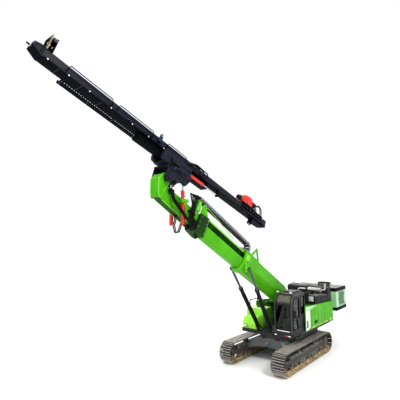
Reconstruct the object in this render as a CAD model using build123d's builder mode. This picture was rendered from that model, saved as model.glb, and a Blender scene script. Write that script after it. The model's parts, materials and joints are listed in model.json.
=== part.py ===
"""Crawler-mounted anchor drilling rig: tracked base, slewing upper structure,
telescopic boom, and a long feed mast carried on a tilting head.

Frame: +X forward, +Y to the machine's left, +Z up, millimetres.
The origin lies on the ground under the slewing axis.
"""
import os
from math import cos, sin, radians, hypot, atan2, degrees, pi

from build123d import *

os.makedirs("parts", exist_ok=True)

# ---------------------------------------------------------------- driving sizes
# tracked base
GAUGE = 2590.0            # between track centre lines
SHOE_W = 600.0
TRACK_LEN = 5200.0
TRACK_H = 940.0
TRACK_THICK = 130.0       # shoe, grouser and link together
END_X = (TRACK_LEN - TRACK_H) / 2
AXLE_Z = TRACK_H / 2
FRAME_HALF = 170.0        # half width of a side frame

TOW_X, TOW_Z, TOW_R = 1095.0, 780.0, 32.0

# slewing ring and deck
RING_Z0, RING_Z1, RING_R = 960.0, 1090.0, 650.0
DECK_Z0, DECK_Z1 = 1200.0, 1360.0
DECK_FRONT, DECK_REAR, DECK_HALF = 1150.0, -3350.0, 1300.0

# cab
CAB_X0, CAB_X1 = -220.0, 1150.0
CAB_Y0, CAB_Y1 = 450.0, 1300.0
CAB_Z0, CAB_Z1 = 1362.0, 3150.0
WALL = 60.0

# side doors, cowl, counterweight, rear cabinet
SIDE_Y = 1400.0
SIDE_T = 50.0
CW_X0, CW_X1 = -3950.0, -3360.0
CAB2_X0, CAB2_X1 = -5480.0, -3980.0
CAB2_Y0, CAB2_Y1 = -1200.0, 1400.0
CAB2_Z0, CAB2_Z1 = 1650.0, 2760.0

# boom: foot pin, elevation, sections
FOOT = Vector(-1000, 0, 2390)
BOOM_DEG = 28.5
BASE_END = 4900.0
INNER_END = 7560.0
INNER_START = 3750.0
HEAD_END = 8060.0

# boom lift cylinders
LIFT_BASE = Vector(1200, 0, 1450)
LIFT_TOP = Vector(3120, 0, 4310)
LIFT_BASE_Y, LIFT_TOP_Y = 300.0, 460.0
LIFT_BARREL_L, LIFT_BARREL_R, LIFT_ROD_R = 2410.0, 88.0, 48.0

# mast head
PIVOT = Vector(7650, 0, 7620)
MAST_DEG = 20.7
TILT_X, TILT_Y = 6960.0, 285.0
TILT_Z0, TILT_TRUN, TILT_Z1, TILT_EYE = 6080.0, 6880.0, 7230.0, 7500.0
TILT_R, TILT_ROD_R = 58.0, 30.0

# feed mast, in its own along/above directions from the head pivot
BEAM_K0, BEAM_K1, BEAM_HALF = 850.0, 1060.0, 180.0
BEAM_M0, BEAM_M1 = -6250.0, 4900.0
DRILL_K = 1370.0          # drill axis above the head pivot
SWING_M = -350.0          # slewing ring of the mast, behind the pivot

# ---------------------------------------------------------------- frames
bu = Vector(cos(radians(BOOM_DEG)), 0, sin(radians(BOOM_DEG)))
bn = Vector(-sin(radians(BOOM_DEG)), 0, cos(radians(BOOM_DEG)))
mu = Vector(cos(radians(MAST_DEG)), 0, sin(radians(MAST_DEG)))
mn = Vector(-sin(radians(MAST_DEG)), 0, cos(radians(MAST_DEG)))
YV = Vector(0, 1, 0)


def bpt(s, h, y=0.0):
    """Point of the boom: s along it, h above its axis."""
    return FOOT + bu * s + bn * h + YV * y


def mpt(m, k, y=0.0):
    """Point of the mast: m along it, k above the head pivot."""
    return PIVOT + mu * m + mn * k + YV * y


BOOM_SIDE = Plane(FOOT, x_dir=bu, z_dir=(0, -1, 0))
MAST_SIDE = Plane(PIVOT, x_dir=mu, z_dir=(0, -1, 0))
SIDE = Plane((0, 0, 0), x_dir=(1, 0, 0), z_dir=(0, -1, 0))
FRONT = Plane((0, 0, 0), x_dir=(0, 1, 0), z_dir=(1, 0, 0))


def boom_cut(s):
    """Section plane across the boom at s, local x = +Y, local y = up the boom's normal."""
    return Plane(bpt(s, 0), x_dir=(0, 1, 0), z_dir=bu)


def mast_cut(m):
    return Plane(mpt(m, 0), x_dir=(0, 1, 0), z_dir=mu)


# ---------------------------------------------------------------- small builders
def slab(pts, plane, y0, y1, mode=Mode.ADD):
    """Polygon on a side plane, extruded between two Y positions."""
    with BuildSketch(Plane(plane.origin + YV * y1, x_dir=plane.x_dir, z_dir=plane.z_dir)) as sk:
        with BuildLine():
            Polyline(*pts, close=True)
        make_face()
    extrude(sk.sketch, amount=(y1 - y0), mode=mode)


def prism(pts, plane, length, mode=Mode.ADD):
    """Polygon on a plane, extruded along the plane's normal."""
    with BuildSketch(plane) as sk:
        with BuildLine():
            Polyline(*pts, close=True)
        make_face()
    extrude(sk.sketch, amount=length, mode=mode)


def box(x0, x1, y0, y1, z0, z1, mode=Mode.ADD):
    with Locations(((x0 + x1) / 2, (y0 + y1) / 2, (z0 + z1) / 2)):
        Box(x1 - x0, y1 - y0, z1 - z0, mode=mode)


def rod(p, q, r, mode=Mode.ADD):
    """Round bar from p to q."""
    d = q - p
    with Locations(Plane((p + q) * 0.5, z_dir=d)):
        Cylinder(r, d.length, mode=mode)


def mbox(m0, m1, k0, k1, y0, y1, mode=Mode.ADD):
    """Box in mast directions."""
    slab([(m0, k0), (m1, k0), (m1, k1), (m0, k1)], MAST_SIDE, y0, y1, mode)


def bbox_boom(s0, s1, h0, h1, y0, y1, mode=Mode.ADD):
    slab([(s0, h0), (s1, h0), (s1, h1), (s0, h1)], BOOM_SIDE, y0, y1, mode)


def knuckles(x, y, heights, leaf):
    """Upright hinge barrels just outside a panel whose face is at y, with a leaf onto the panel."""
    sgn = 1 if y > 0 else -1
    for z in heights:
        rod(Vector(x, y + sgn * 12, z - 60), Vector(x, y + sgn * 12, z + 60), 11)
        y0, y1 = sorted((y, y + sgn * 9))
        box(min(x, x + leaf), max(x, x + leaf), y0, y1, z - 45, z + 45)


def save(part, name):
    part.label = name
    export_step(part, f"parts/{name}.step")


SIDES = (("left", 1.0), ("right", -1.0))

# ================================================================ tracked base
for side, sgn in SIDES:
    yc = sgn * GAUGE / 2
    # closed loop, shoes within its outline
    with BuildPart() as track:
        with BuildSketch(Plane((0, yc + SHOE_W / 2, AXLE_Z), x_dir=(1, 0, 0), z_dir=(0, -1, 0))):
            SlotCenterToCenter(2 * END_X, TRACK_H)
            SlotCenterToCenter(2 * END_X, TRACK_H - 2 * TRACK_THICK, mode=Mode.SUBTRACT)
        extrude(amount=SHOE_W)
    save(track.part, f"{side}_track")

# side frames: roofed box, idler fork in front, motor plate behind
with BuildPart() as track_frames:
    for side, sgn in SIDES:
        yc = sgn * GAUGE / 2
        roof = [(yc - FRAME_HALF, 345), (yc + FRAME_HALF, 345), (yc + FRAME_HALF, 560),
                (yc + 90, 640), (yc - 90, 640), (yc - FRAME_HALF, 560)]
        prism(roof, Plane((-1740, 0, 0), x_dir=(0, 1, 0), z_dir=(1, 0, 0)), 3480)
        for y0 in (yc - FRAME_HALF, yc + FRAME_HALF - 50):
            box(1740, 2250, y0, y0 + 50, 400, 540)
        y_in = yc - sgn * FRAME_HALF
        box(-2330, -1740, min(y_in, y_in + sgn * 35), max(y_in, y_in + sgn * 35), 345, 600)
save(track_frames.part, "track_frames")

with BuildPart() as sprockets:
    for side, sgn in SIDES:
        yc = sgn * GAUGE / 2
        c = Vector(-END_X, yc, AXLE_Z)
        y_in = yc - sgn * (FRAME_HALF - 35)
        rod(c - YV * 30, c + YV * 30, 332)
        rod(Vector(-END_X, y_in, AXLE_Z), Vector(-END_X, yc + sgn * 150, AXLE_Z), 225)
save(sprockets.part, "drive_sprockets")

# bottom and top rollers with the blocks that hold their axles: x, z, radius, block bottom, block top
ROLLERS = [(-1500 + 428 * i, 226.0, 94.0, 196.0, 345.0) for i in range(8)]
ROLLERS += [(x, 739.0, 69.0, 640.0, 770.0) for x in (-750, 850)]
with BuildPart() as rollers:
    for side, sgn in SIDES:
        yc = sgn * GAUGE / 2
        # front idler
        c = Vector(END_X, yc, AXLE_Z)
        rod(c - YV * 55, c + YV * 55, 338)
        rod(c - YV * 118, c + YV * 118, 95)
        for x, z, r, b0, b1 in ROLLERS:
            c = Vector(x, yc, z)
            rod(c - YV * 88, c + YV * 88, r)
            rod(c - YV * 150, c + YV * 150, 34)
            if z < 400:
                for y0 in (yc - 150, yc + 110):
                    box(x - 55, x + 55, y0, y0 + 40, b0, b1)
            else:
                # bracket from the sloping shoulder of the side frame
                box(x - 45, x + 45, yc + sgn * 120 - 30, yc + sgn * 120 + 30, 705, b1)
                slab([(x - 45, 640), (x + 45, 640), (x + 45, 706), (x - 45, 706)], SIDE,
                     yc - 89 if sgn > 0 else yc - 150, yc + 150 if sgn > 0 else yc + 89)
save(rollers.part, "idlers_and_rollers")

# arched centre frame between the side frames
INNER_FRAME_Y = GAUGE / 2 - FRAME_HALF
LEG_Y = 620.0             # where the legs meet the middle of the frame
ARCH_R = (INNER_FRAME_Y ** 2 + 240.0 ** 2) / 480.0


def arch_z(y):
    """Underside of the arch at y."""
    return 640.0 - ARCH_R + (ARCH_R ** 2 - y ** 2) ** 0.5


with BuildPart() as frame_legs:
    for x0, x1 in ((330, 1020), (-1020, -330)):
        for sgn in (1, -1):
            with BuildSketch(Plane((x0, 0, 0), x_dir=(0, 1, 0), z_dir=(1, 0, 0))) as leg:
                with BuildLine():
                    Polyline((sgn * INNER_FRAME_Y, 400), (sgn * INNER_FRAME_Y, 610), (sgn * LEG_Y, 940),
                             (sgn * LEG_Y, arch_z(LEG_Y)))
                    ThreePointArc((sgn * LEG_Y, arch_z(LEG_Y)), (sgn * 870, arch_z(870)), (sgn * INNER_FRAME_Y, 400))
                make_face()
            extrude(leg.sketch, amount=x1 - x0)
save(frame_legs.part, "frame_legs")

with BuildPart() as centre_frame:
    for x0, x1 in ((330, 1020), (-1020, -330)):
        with BuildSketch(Plane((x0, 0, 0), x_dir=(0, 1, 0), z_dir=(1, 0, 0))) as arch:
            with BuildLine():
                Polyline((-LEG_Y, arch_z(LEG_Y)), (-LEG_Y, 940), (LEG_Y, 940), (LEG_Y, arch_z(LEG_Y)))
                ThreePointArc((LEG_Y, arch_z(LEG_Y)), (0, 640), (-LEG_Y, arch_z(LEG_Y)))
            make_face()
        extrude(arch.sketch, amount=x1 - x0)
    box(-1020, 1020, -560, 560, 700, RING_Z0)
    # fixed race of the slewing ring, and the front towing eye
    rod(Vector(0, 0, RING_Z0 - 1), Vector(0, 0, RING_Z1), RING_R)
    rod(Vector(0, 0, RING_Z0), Vector(0, 0, RING_Z1 + 1), RING_R - 190, mode=Mode.SUBTRACT)
    slab([(1000, 700), (1060, 700), (1150, 745), (1150, 815), (1060, 860), (1000, 860)], SIDE, -25, 25)
    rod(Vector(TOW_X, -40, TOW_Z), Vector(TOW_X, 40, TOW_Z), TOW_R, mode=Mode.SUBTRACT)
save(centre_frame.part, "centre_frame")

# ================================================================ deck
with BuildPart() as deck:
    box(DECK_REAR, DECK_FRONT, -DECK_HALF, DECK_HALF, DECK_Z0, DECK_Z1)
    box(DECK_FRONT - 10, DECK_FRONT + 110, -400, 400, DECK_Z0 + 20, DECK_Z1)
    fillet(deck.edges().filter_by(Axis.Z).group_by(Axis.X)[0], 90)
    rod(Vector(0, 0, RING_Z1 + 1), Vector(0, 0, DECK_Z0), RING_R - 60)
    # two upright plates that carry the boom foot
    for y0 in (-390, 330):
        with BuildSketch(Plane((0, y0 + 60, 0), x_dir=(1, 0, 0), z_dir=(0, -1, 0))) as cheek:
            with BuildLine():
                Polyline((-1700, DECK_Z1), (-150, DECK_Z1), (FOOT.X + 215, FOOT.Z),
                         (FOOT.X - 215, FOOT.Z), close=True)
            make_face()
            with Locations((FOOT.X, FOOT.Z)):
                Circle(215)
        extrude(cheek.sketch, amount=60)
    # lugs of the lift cylinders
    for sgn in (1, -1):
        for off in (-90, 60):
            yc = sgn * LIFT_BASE_Y
            with BuildSketch(Plane((0, yc + off + 30, 0), x_dir=(1, 0, 0), z_dir=(0, -1, 0))) as lug:
                with BuildLine():
                    Polyline((1060, DECK_Z1), (1255, DECK_Z1), (LIFT_BASE.X + 95, LIFT_BASE.Z),
                             (LIFT_BASE.X - 95, LIFT_BASE.Z), close=True)
                make_face()
                with Locations((LIFT_BASE.X, LIFT_BASE.Z)):
                    Circle(95)
            extrude(lug.sketch, amount=30)
    # the boom foot pin
    rod(Vector(FOOT.X, -391, FOOT.Z), Vector(FOOT.X, 391, FOOT.Z), 70)
save(deck.part, "deck_frame")

# ================================================================ cab
# side outline of the cab, front raked, roof edge rounded off by a slope
CAB_OUT = [(CAB_X0, CAB_Z0), (CAB_X1, CAB_Z0), (CAB_X1 - 15, 2700), (CAB_X1 - 250, 3095), (CAB_X0 + 60, CAB_Z1),
           (CAB_X0, CAB_Z1 - 60)]
CAB_IN = [(CAB_X0 + WALL, CAB_Z0 + 70), (CAB_X1 - WALL, CAB_Z0 + 70), (CAB_X1 - 15 - WALL, 2680),
          (CAB_X1 - 285, 3020), (CAB_X0 + 100, CAB_Z1 - 85), (CAB_X0 + WALL, CAB_Z1 - 110)]
DOOR = (330.0, 1060.0, 1455.0, 2960.0)        # x0, x1, z0, z1 of the door
with BuildPart() as cab_floor:
    box(CAB_X0, CAB_X1, CAB_Y0, CAB_Y1, CAB_Z0, CAB_Z0 + 70)
save(cab_floor.part, "cab_floor")

LOW = CAB_Z0 + 70
SIDE_OUT = [(CAB_X0, LOW), (CAB_X1, LOW), (CAB_X1 - 15, 2690), (CAB_X1 - 245, 3008), (CAB_X0 + 60, 3055), (CAB_X0, 2995)]
with BuildPart() as cab_left:
    slab(SIDE_OUT, SIDE, CAB_Y1 - WALL, CAB_Y1)
    # doorway and the fixed pane behind it
    slab([(DOOR[0] - 9, DOOR[2] - 9), (DOOR[1] + 9, DOOR[2] - 9), (DOOR[1] + 9, 2642), (DOOR[1] - 172, DOOR[3] + 9),
          (DOOR[0] - 9, DOOR[3] + 9)], SIDE, CAB_Y1 - WALL - 1, CAB_Y1 + 1, mode=Mode.SUBTRACT)
    slab([(-150, 2150), (230, 2150), (230, 2930), (-150, 2930)], SIDE, CAB_Y1 - WALL - 1, CAB_Y1 + 1,
         mode=Mode.SUBTRACT)
save(cab_left.part, "cab_left_wall")

with BuildPart() as cab_right:
    slab(SIDE_OUT, SIDE, CAB_Y0, CAB_Y0 + WALL)
    slab([(-150, 2050), (1020, 2050), (1020, 2660), (860, 2930), (-150, 2930)], SIDE, CAB_Y0 - 1,
         CAB_Y0 + WALL + 1, mode=Mode.SUBTRACT)
save(cab_right.part, "cab_right_wall")

CW0, CW1 = CAB_Y0 + WALL, CAB_Y1 - WALL       # clear width between the side walls
with BuildPart() as cab_front:
    slab([(CAB_X1 - WALL, LOW), (CAB_X1, LOW), (CAB_X1 - 15, 2700), (CAB_X1 - 15 - WALL, 2680)], SIDE, CW0, CW1)
    box(CAB_X1 - 200, CAB_X1 + 50, CW0 + 25, CW1 - 25, LOW + 130, 2600, mode=Mode.SUBTRACT)
save(cab_front.part, "cab_front_frame")

with BuildPart() as cab_rear:
    box(CAB_X0, CAB_X0 + WALL, CW0, CW1, LOW, CAB_Z1 - 110)
    box(CAB_X0 - 10, CAB_X0 + WALL + 10, CW0 + 90, CW1 - 90, 2250, 2900, mode=Mode.SUBTRACT)
save(cab_rear.part, "cab_rear_wall")

with BuildPart() as cab_roof:
    slab([(CAB_X1 - 15, 2700), (CAB_X1 - 250, 3095), (CAB_X0 + 60, CAB_Z1), (CAB_X0, CAB_Z1 - 60),
          (CAB_X0, CAB_Z1 - 110), (CAB_X0 + WALL, CAB_Z1 - 110), (CAB_X0 + 100, CAB_Z1 - 85), (CAB_X1 - 285, 3020),
          (CAB_X1 - 15 - WALL, 2680)], SIDE, CW0, CW1)
    # skirts inside the side walls, then the bevel along both long edges
    for y0 in (CW0, CW1 - 18):
        slab([(CAB_X1 - 15, 2700), (CAB_X1 - 250, 3095), (CAB_X0 + 60, CAB_Z1), (CAB_X0 + 60, 2960), (CAB_X1 - 330, 2945),
              (CAB_X1 - 15 - WALL, 2680)], SIDE, y0, y0 + 18)
    for edge, inward in ((CW0, 1), (CW1, -1)):
        with BuildSketch(Plane((CAB_X0 - 80, 0, 0), x_dir=(0, 1, 0), z_dir=(1, 0, 0))) as bevel:
            with BuildLine():
                Polyline((edge - inward * 5, 3035), (edge - inward * 5, 3165), (edge + inward * 125, 3165), close=True)
            make_face()
        extrude(bevel.sketch, amount=CAB_X1 - CAB_X0 + 160, mode=Mode.SUBTRACT)
    # sloping front light
    with BuildSketch(Plane((CAB_X1 - 132, (CW0 + CW1) / 2, 2897), x_dir=(0, 1, 0),
                           z_dir=(395, 0, 235))) as light:
        Rectangle(CW1 - CW0 - 90, 340)
    extrude(light.sketch, amount=120, both=True, mode=Mode.SUBTRACT)
save(cab_roof.part, "cab_roof")

with BuildPart() as cab_door:
    slab([(DOOR[0], DOOR[2]), (DOOR[1], DOOR[2]), (DOOR[1], 2636), (DOOR[1] - 178, DOOR[3]), (DOOR[0], DOOR[3])],
         SIDE, CAB_Y1 - WALL + 2, CAB_Y1)
    slab([(DOOR[0] + 60, 2080), (DOOR[1] - 55, 2080), (DOOR[1] - 55, 2610), (DOOR[1] - 205, DOOR[3] - 70),
          (DOOR[0] + 60, DOOR[3] - 70)], SIDE, CAB_Y1 - WALL - 1, CAB_Y1 + 1, mode=Mode.SUBTRACT)
    slab([(DOOR[0] + 170, 1560), (DOOR[1] - 55, 1560), (DOOR[1] - 55, 1990), (DOOR[0] + 290, 1990)], SIDE,
         CAB_Y1 - WALL - 1, CAB_Y1 + 1, mode=Mode.SUBTRACT)
    knuckles(DOOR[0], CAB_Y1, (1650, 2020), 55)
save(cab_door.part, "cab_door")

GLASS = 12.0
with BuildPart() as cab_glass:
    # windscreen, right pane, rear pane, left rear pane, sloping light
    box(CAB_X1 - 45, CAB_X1 - 45 + GLASS, CW0 + 25, CW1 - 25, LOW + 130, 2600)
    slab([(-150, 2050), (1020, 2050), (1020, 2660), (860, 2930), (-150, 2930)], SIDE, CAB_Y0 + 24, CAB_Y0 + 36)
    box(CAB_X0 + 24, CAB_X0 + 36, CW0 + 90, CW1 - 90, 2250, 2900)
    slab([(-150, 2150), (230, 2150), (230, 2930), (-150, 2930)], SIDE, CAB_Y1 - 36, CAB_Y1 - 24)
    with BuildSketch(Plane((CAB_X1 - 132, (CW0 + CW1) / 2, 2897), x_dir=(0, 1, 0), z_dir=(395, 0, 235)).offset(-32)) as pane:
        Rectangle(CW1 - CW0 - 90, 340)
    extrude(pane.sketch, amount=GLASS)
save(cab_glass.part, "cab_glass")

with BuildPart() as door_glass:
    slab([(DOOR[0] + 60, 2080), (DOOR[1] - 55, 2080), (DOOR[1] - 55, 2610), (DOOR[1] - 205, DOOR[3] - 70),
          (DOOR[0] + 60, DOOR[3] - 70)], SIDE, CAB_Y1 - 36, CAB_Y1 - 24)
    slab([(DOOR[0] + 170, 1560), (DOOR[1] - 55, 1560), (DOOR[1] - 55, 1990), (DOOR[0] + 290, 1990)], SIDE,
         CAB_Y1 - 36, CAB_Y1 - 24)
save(door_glass.part, "door_glass")

with BuildPart() as seat:
    yc = (CAB_Y0 + CAB_Y1) / 2
    box(130, 560, yc - 200, yc + 200, LOW, 1720)
    slab([(60, 1720), (640, 1720), (650, 1860), (90, 1830)], SIDE, yc - 250, yc + 250)
    slab([(60, 1815), (150, 1835), (20, 2480), (-90, 2470)], SIDE, yc - 240, yc + 240)
    slab([(-30, 2470), (20, 2475), (-20, 2680), (-90, 2670)], SIDE, yc - 130, yc + 130)
    # side consoles, front pedestal with the display
    for y0 in (CW0 + 10, CW1 - 110):
        box(80, 700, y0, y0 + 100, LOW, 1980)
    box(930, 1040, CW0 + 60, CW0 + 330, LOW, 2120)
save(seat.part, "seat_and_controls")

# ================================================================ engine bay
with BuildPart() as engine:
    box(-3150, -1750, -450, 450, DECK_Z1 + 40, 2250)
    for x0 in (-3000, -1950):
        box(x0, x0 + 120, -450, 450, DECK_Z1, DECK_Z1 + 41)
save(engine.part, "engine_block")

# side bodywork that carries the doors: sill, posts, top deck
with BuildPart() as bay:
    for sgn in (1, -1):
        y0, y1 = (DECK_HALF - 60, SIDE_Y - SIDE_T - 7) if sgn > 0 else (-SIDE_Y + SIDE_T + 7, -DECK_HALF + 60)
        x_front = -226 if sgn > 0 else -246
        for xa, xb in ((x_front - 80, x_front), (-1865, -1785), (-3350, -3290)):
            box(xa, xb, y0, y1, DECK_Z1, 2250)
        slab([(-3350, 2180), (x_front, 2180), (x_front, 2420), (-3350, 2260)], SIDE, y0, y1)
    # top plate of the bay, open over the boom foot
    slab([(-3350, 2180), (-1500, 2180), (-1500, 2335), (-3350, 2255)], SIDE, -DECK_HALF + 60, DECK_HALF - 60)
    box(-3160, -1740, -460, 460, 2170, 2252, mode=Mode.SUBTRACT)
    box(-1480 - 400, -1400, -420, 420, 2100, 2500, mode=Mode.SUBTRACT)
    # white front pillar panel on the left
    slab([(-300, 1345), (-60, 1345), (-60, 2430), (-300, 2418)], SIDE, SIDE_Y - SIDE_T - 8, SIDE_Y)
    box(-215, -150, SIDE_Y - SIDE_T - 9, SIDE_Y + 1, 1500, 1730, mode=Mode.SUBTRACT)
save(bay.part, "bay_frame")

# outer side doors: name, side, x0, x1, top at x0, top at x1
DOORS = [
    ("left_front_door", 1, -1820.0, -306.0, 2335.0, 2415.0),
    ("left_rear_door", 1, -3345.0, -1830.0, 2258.0, 2334.0),
    ("right_front_door", -1, -1820.0, -306.0, 2335.0, 2415.0),
    ("right_rear_door", -1, -3345.0, -1830.0, 2258.0, 2334.0),
]
for name, sgn, x0, x1, t0, t1 in DOORS:
    ya, yb = (SIDE_Y - SIDE_T, SIDE_Y) if sgn > 0 else (-SIDE_Y, -SIDE_Y + SIDE_T)
    with BuildPart() as door:
        slab([(x0, 1345), (x1, 1345), (x1, t1), (x0, t0)], SIDE, ya, yb)
        # stiffening flutes pressed into the outer skin
        yo = yb if sgn > 0 else ya
        for i in range(1, 4):
            xf = x0 + (x1 - x0) * i / 4
            box(xf - 22, xf + 22, yo - 14, yo + 14, 1430, 2200, mode=Mode.SUBTRACT)
        knuckles(x1 if "front" in name else x0, yo, (1550, 2100), -70 if "front" in name else 70)
    save(door.part, name)

# heavy tail weight, tapered towards the rear
with BuildPart() as tail:
    with BuildSketch(Plane.XY.offset(1230)) as plan:
        with BuildLine():
            Polyline((CW_X1, -SIDE_Y), (CW_X1, SIDE_Y), (CW_X1 - 60, SIDE_Y), (CW_X0, 1130), (CW_X0, -1130),
                     (CW_X1 - 60, -SIDE_Y), close=True)
        make_face()
        fillet(plan.vertices().group_by(Axis.X)[0], 120)
    extrude(plan.sketch, amount=1060)
    fillet(tail.edges().group_by(Axis.Z)[0], 40)
save(tail.part, "tail_weight")

# rounded dark cowl: a high hump across the rear, and a lower arm along the left side
with BuildPart() as cowl_arm:
    slab([(-1450, 2368), (-1450, 2790), (-3150, 2650), (-3150, 2292)], SIDE, 870, 1290)
    fillet(cowl_arm.faces().sort_by(Axis.Z)[-1].edges(), 120)
with BuildPart() as cowl:
    box(CW_X0 + 200, -3080, -1000, 1290, 2290, 3030)
    fillet(cowl.edges().filter_by(Axis.Z).group_by(Axis.X)[0], 280)
    fillet(cowl.faces().sort_by(Axis.Z)[-1].edges(), 150)
    add(cowl_arm.part)
save(cowl.part, "engine_cowl")


def pipe(pts, r, bend):
    """Round pipe with rounded corners."""
    pts = [Vector(*q) for q in pts]
    with BuildLine() as path:
        FilletPolyline(*pts, radius=bend)
    with BuildSketch(Plane(pts[0], z_dir=pts[1] - pts[0])) as pipe_sk:
        Circle(r)
    sweep(pipe_sk.sketch, path=path.line)


with BuildPart() as muffler:
    # silencer across the bay, bent inlet on its right, upturned tailpipe on its left, two posts and a clamp
    x, z = -2620, 2880
    rod(Vector(x, 440, z), Vector(x, 1100, z), 110)
    pipe([(x, -130, 2291), (x, -130, z), (x, 445, z)], 48, 110)
    pipe([(x, 1095, z + 5), (x, 1320, z + 20), (x, 1345, 3215)], 45, 90)
    rod(Vector(x, 300, z), Vector(x, 345, z), 82)
    for y in (540, 790):
        rod(Vector(x, y, 2291), Vector(x, y, z), 32)
save(muffler.part, "muffler")

with BuildPart() as precleaner:
    box(-3640, -3290, 690, 1280, 3030, 3215)
    fillet(precleaner.edges().group_by(Axis.Z)[-1], 50)
save(precleaner.part, "air_cleaner_box")

# pale rear cabinet: hollow, open on its left where the louvred door sits
with BuildPart() as cabinet:
    box(CAB2_X0, CAB2_X1, CAB2_Y0, CAB2_Y1, CAB2_Z0 + 170, CAB2_Z1 - 90)
    box(CAB2_X0 + 60, CAB2_X1 - 60, CAB2_Y0 + 60, CAB2_Y1 - 60, CAB2_Z0 + 230, CAB2_Z1 - 150, mode=Mode.SUBTRACT)
    box(CAB2_X0 + 280, CAB2_X1 - 380, CAB2_Y1 - 80, CAB2_Y1 + 10, CAB2_Z0 + 230, CAB2_Z1 - 150, mode=Mode.SUBTRACT)
save(cabinet.part, "rear_cabinet")

# black roof and base frame of the cabinet, with two beams back to the tail weight
with BuildPart() as cabinet_frame:
    box(CAB2_X0 - 40, CAB2_X1 + 10, CAB2_Y0 - 40, CAB2_Y1 + 30, CAB2_Z1 - 90, CAB2_Z1 + 90)
    fillet(cabinet_frame.edges().filter_by(Axis.Z), 60)
    chamfer(cabinet_frame.edges().group_by(Axis.Z)[-1], 30)
    box(CAB2_X0 - 20, CAB2_X1, CAB2_Y0 - 20, CAB2_Y1 + 20, CAB2_Z0, CAB2_Z0 + 170)
    for y0 in (-900, 700):
        box(CAB2_X0 + 100, CW_X0, y0, y0 + 200, CAB2_Z0 - 170, CAB2_Z0 + 1)
        box(CW_X0 - 29, CW_X0, y0, y0 + 200, CAB2_Z0 - 170, CAB2_Z0 + 90)
save(cabinet_frame.part, "cabinet_frame")

with BuildPart() as cabinet_door:
    x0, x1, z0, z1 = CAB2_X0 + 289, CAB2_X1 - 389, CAB2_Z0 + 239, CAB2_Z1 - 159
    box(x0, x1, CAB2_Y1 - 45, CAB2_Y1, z0, z1)
    # louvre slots through the panel
    for i in range(9):
        zl = z0 + 90 + i * (z1 - z0 - 180) / 8
        box(x0 + 80, x1 - 80, CAB2_Y1 - 46, CAB2_Y1 + 1, zl - 14, zl + 14, mode=Mode.SUBTRACT)
    knuckles(x0, CAB2_Y1, (1960, 2450), 60)
save(cabinet_door.part, "cabinet_door")

with BuildPart() as power_pack:
    box(CAB2_X0 + 200, CAB2_X1 - 200, CAB2_Y0 + 200, CAB2_Y1 - 300, CAB2_Z0 + 230, CAB2_Z1 - 300)
save(power_pack.part, "power_pack")

# fuel tank and tool box at the right front: x-z outline, y0, y1, top edge radius
BOXES = [
    ([(-240, DECK_Z1), (620, DECK_Z1), (620, 2130), (540, 2200), (-240, 2200)], -1350, -470),
    ([(626, DECK_Z1), (1120, DECK_Z1), (1170, 1560), (1120, 1800), (900, 1930), (626, 1930)], -1225, -520),
]
with BuildPart() as tank:
    for outline, y0, y1 in BOXES:
        slab(outline, SIDE, y0, y1)
    fillet(tank.edges().filter_by(Axis.X).filter_by(lambda e: e.center().Z > 1900), 55)
save(tank.part, "tank_and_toolbox")

# tubular handrails on the tank: posts, long rails, cross rail
with BuildPart() as rails:
    for y in (-1230, -600):
        rod(Vector(-230, y, 2560), Vector(550, y, 2560), 24)
        for x in (-180, 500):
            rod(Vector(x, y, 2200), Vector(x, y, 2560), 19)
    rod(Vector(-120, -1230, 2560), Vector(-120, -600, 2560), 17)
save(rails.part, "handrails")

# ================================================================ boom
BASE_OUT = [(-300, 400), (300, 400), (300, -110), (165, -400), (-165, -400), (-300, -110)]
BASE_IN = [(-262, 372), (262, 372), (262, -118), (143, -374), (-143, -374), (-262, -118)]
with BuildPart() as boom_base:
    prism(BASE_OUT, boom_cut(1100), BASE_END - 1100)
    # tapering root between the foot plates
    with BuildSketch(Plane(FOOT + YV * 300, x_dir=bu, z_dir=(0, -1, 0))) as root:
        with BuildLine():
            Polyline((0, 190), (1101, 400), (1101, -400), (0, -190), close=True)
        make_face()
        Circle(190)
    extrude(root.sketch, amount=600)
    prism(BASE_IN, boom_cut(1400), BASE_END, mode=Mode.SUBTRACT)
    bbox_boom(500, 1350, -130, 180, -262, 262, mode=Mode.SUBTRACT)
    rod(FOOT - YV * 320, FOOT + YV * 320, 70.3, mode=Mode.SUBTRACT)
    # collar at the mouth
    prism([(-340, 440), (340, 440), (340, -125), (190, -440), (-190, -440), (-340, -125)], boom_cut(4480), 400)
    prism(BASE_IN, boom_cut(4400), 600, mode=Mode.SUBTRACT)
    # side ears for the lift cylinders
    lug_s = (LIFT_TOP - FOOT).dot(bu)
    lug_h = (LIFT_TOP - FOOT).dot(bn)
    for sgn in (1, -1):
        with BuildSketch(Plane(FOOT + YV * (362 if sgn > 0 else -265), x_dir=bu, z_dir=(0, -1, 0))) as ear:
            with BuildLine():
                Polyline((lug_s - 330, -100), (lug_s + 330, -100), (lug_s + 140, lug_h - 60), (lug_s - 140, lug_h - 60),
                         close=True)
            make_face()
            with Locations((lug_s, lug_h)):
                Circle(130)
        extrude(ear.sketch, amount=97)
    prism(BASE_IN, boom_cut(3500), 1500, mode=Mode.SUBTRACT)
    # shallow trough of the energy chain, and the side frame that guides hoses
    bbox_boom(3150, 4490, 399, 409, -175, 175)
    for y0 in (-175, 167):
        bbox_boom(3150, 4490, 399, 470, y0, y0 + 8)
    slab([(3700, 399), (4440, 399), (4120, 900), (4050, 900)], BOOM_SIDE, 240, 275)
    slab([(3830, 460), (4290, 460), (4105, 760), (4070, 760)], BOOM_SIDE, 230, 290, mode=Mode.SUBTRACT)
save(boom_base.part, "boom_base")

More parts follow.
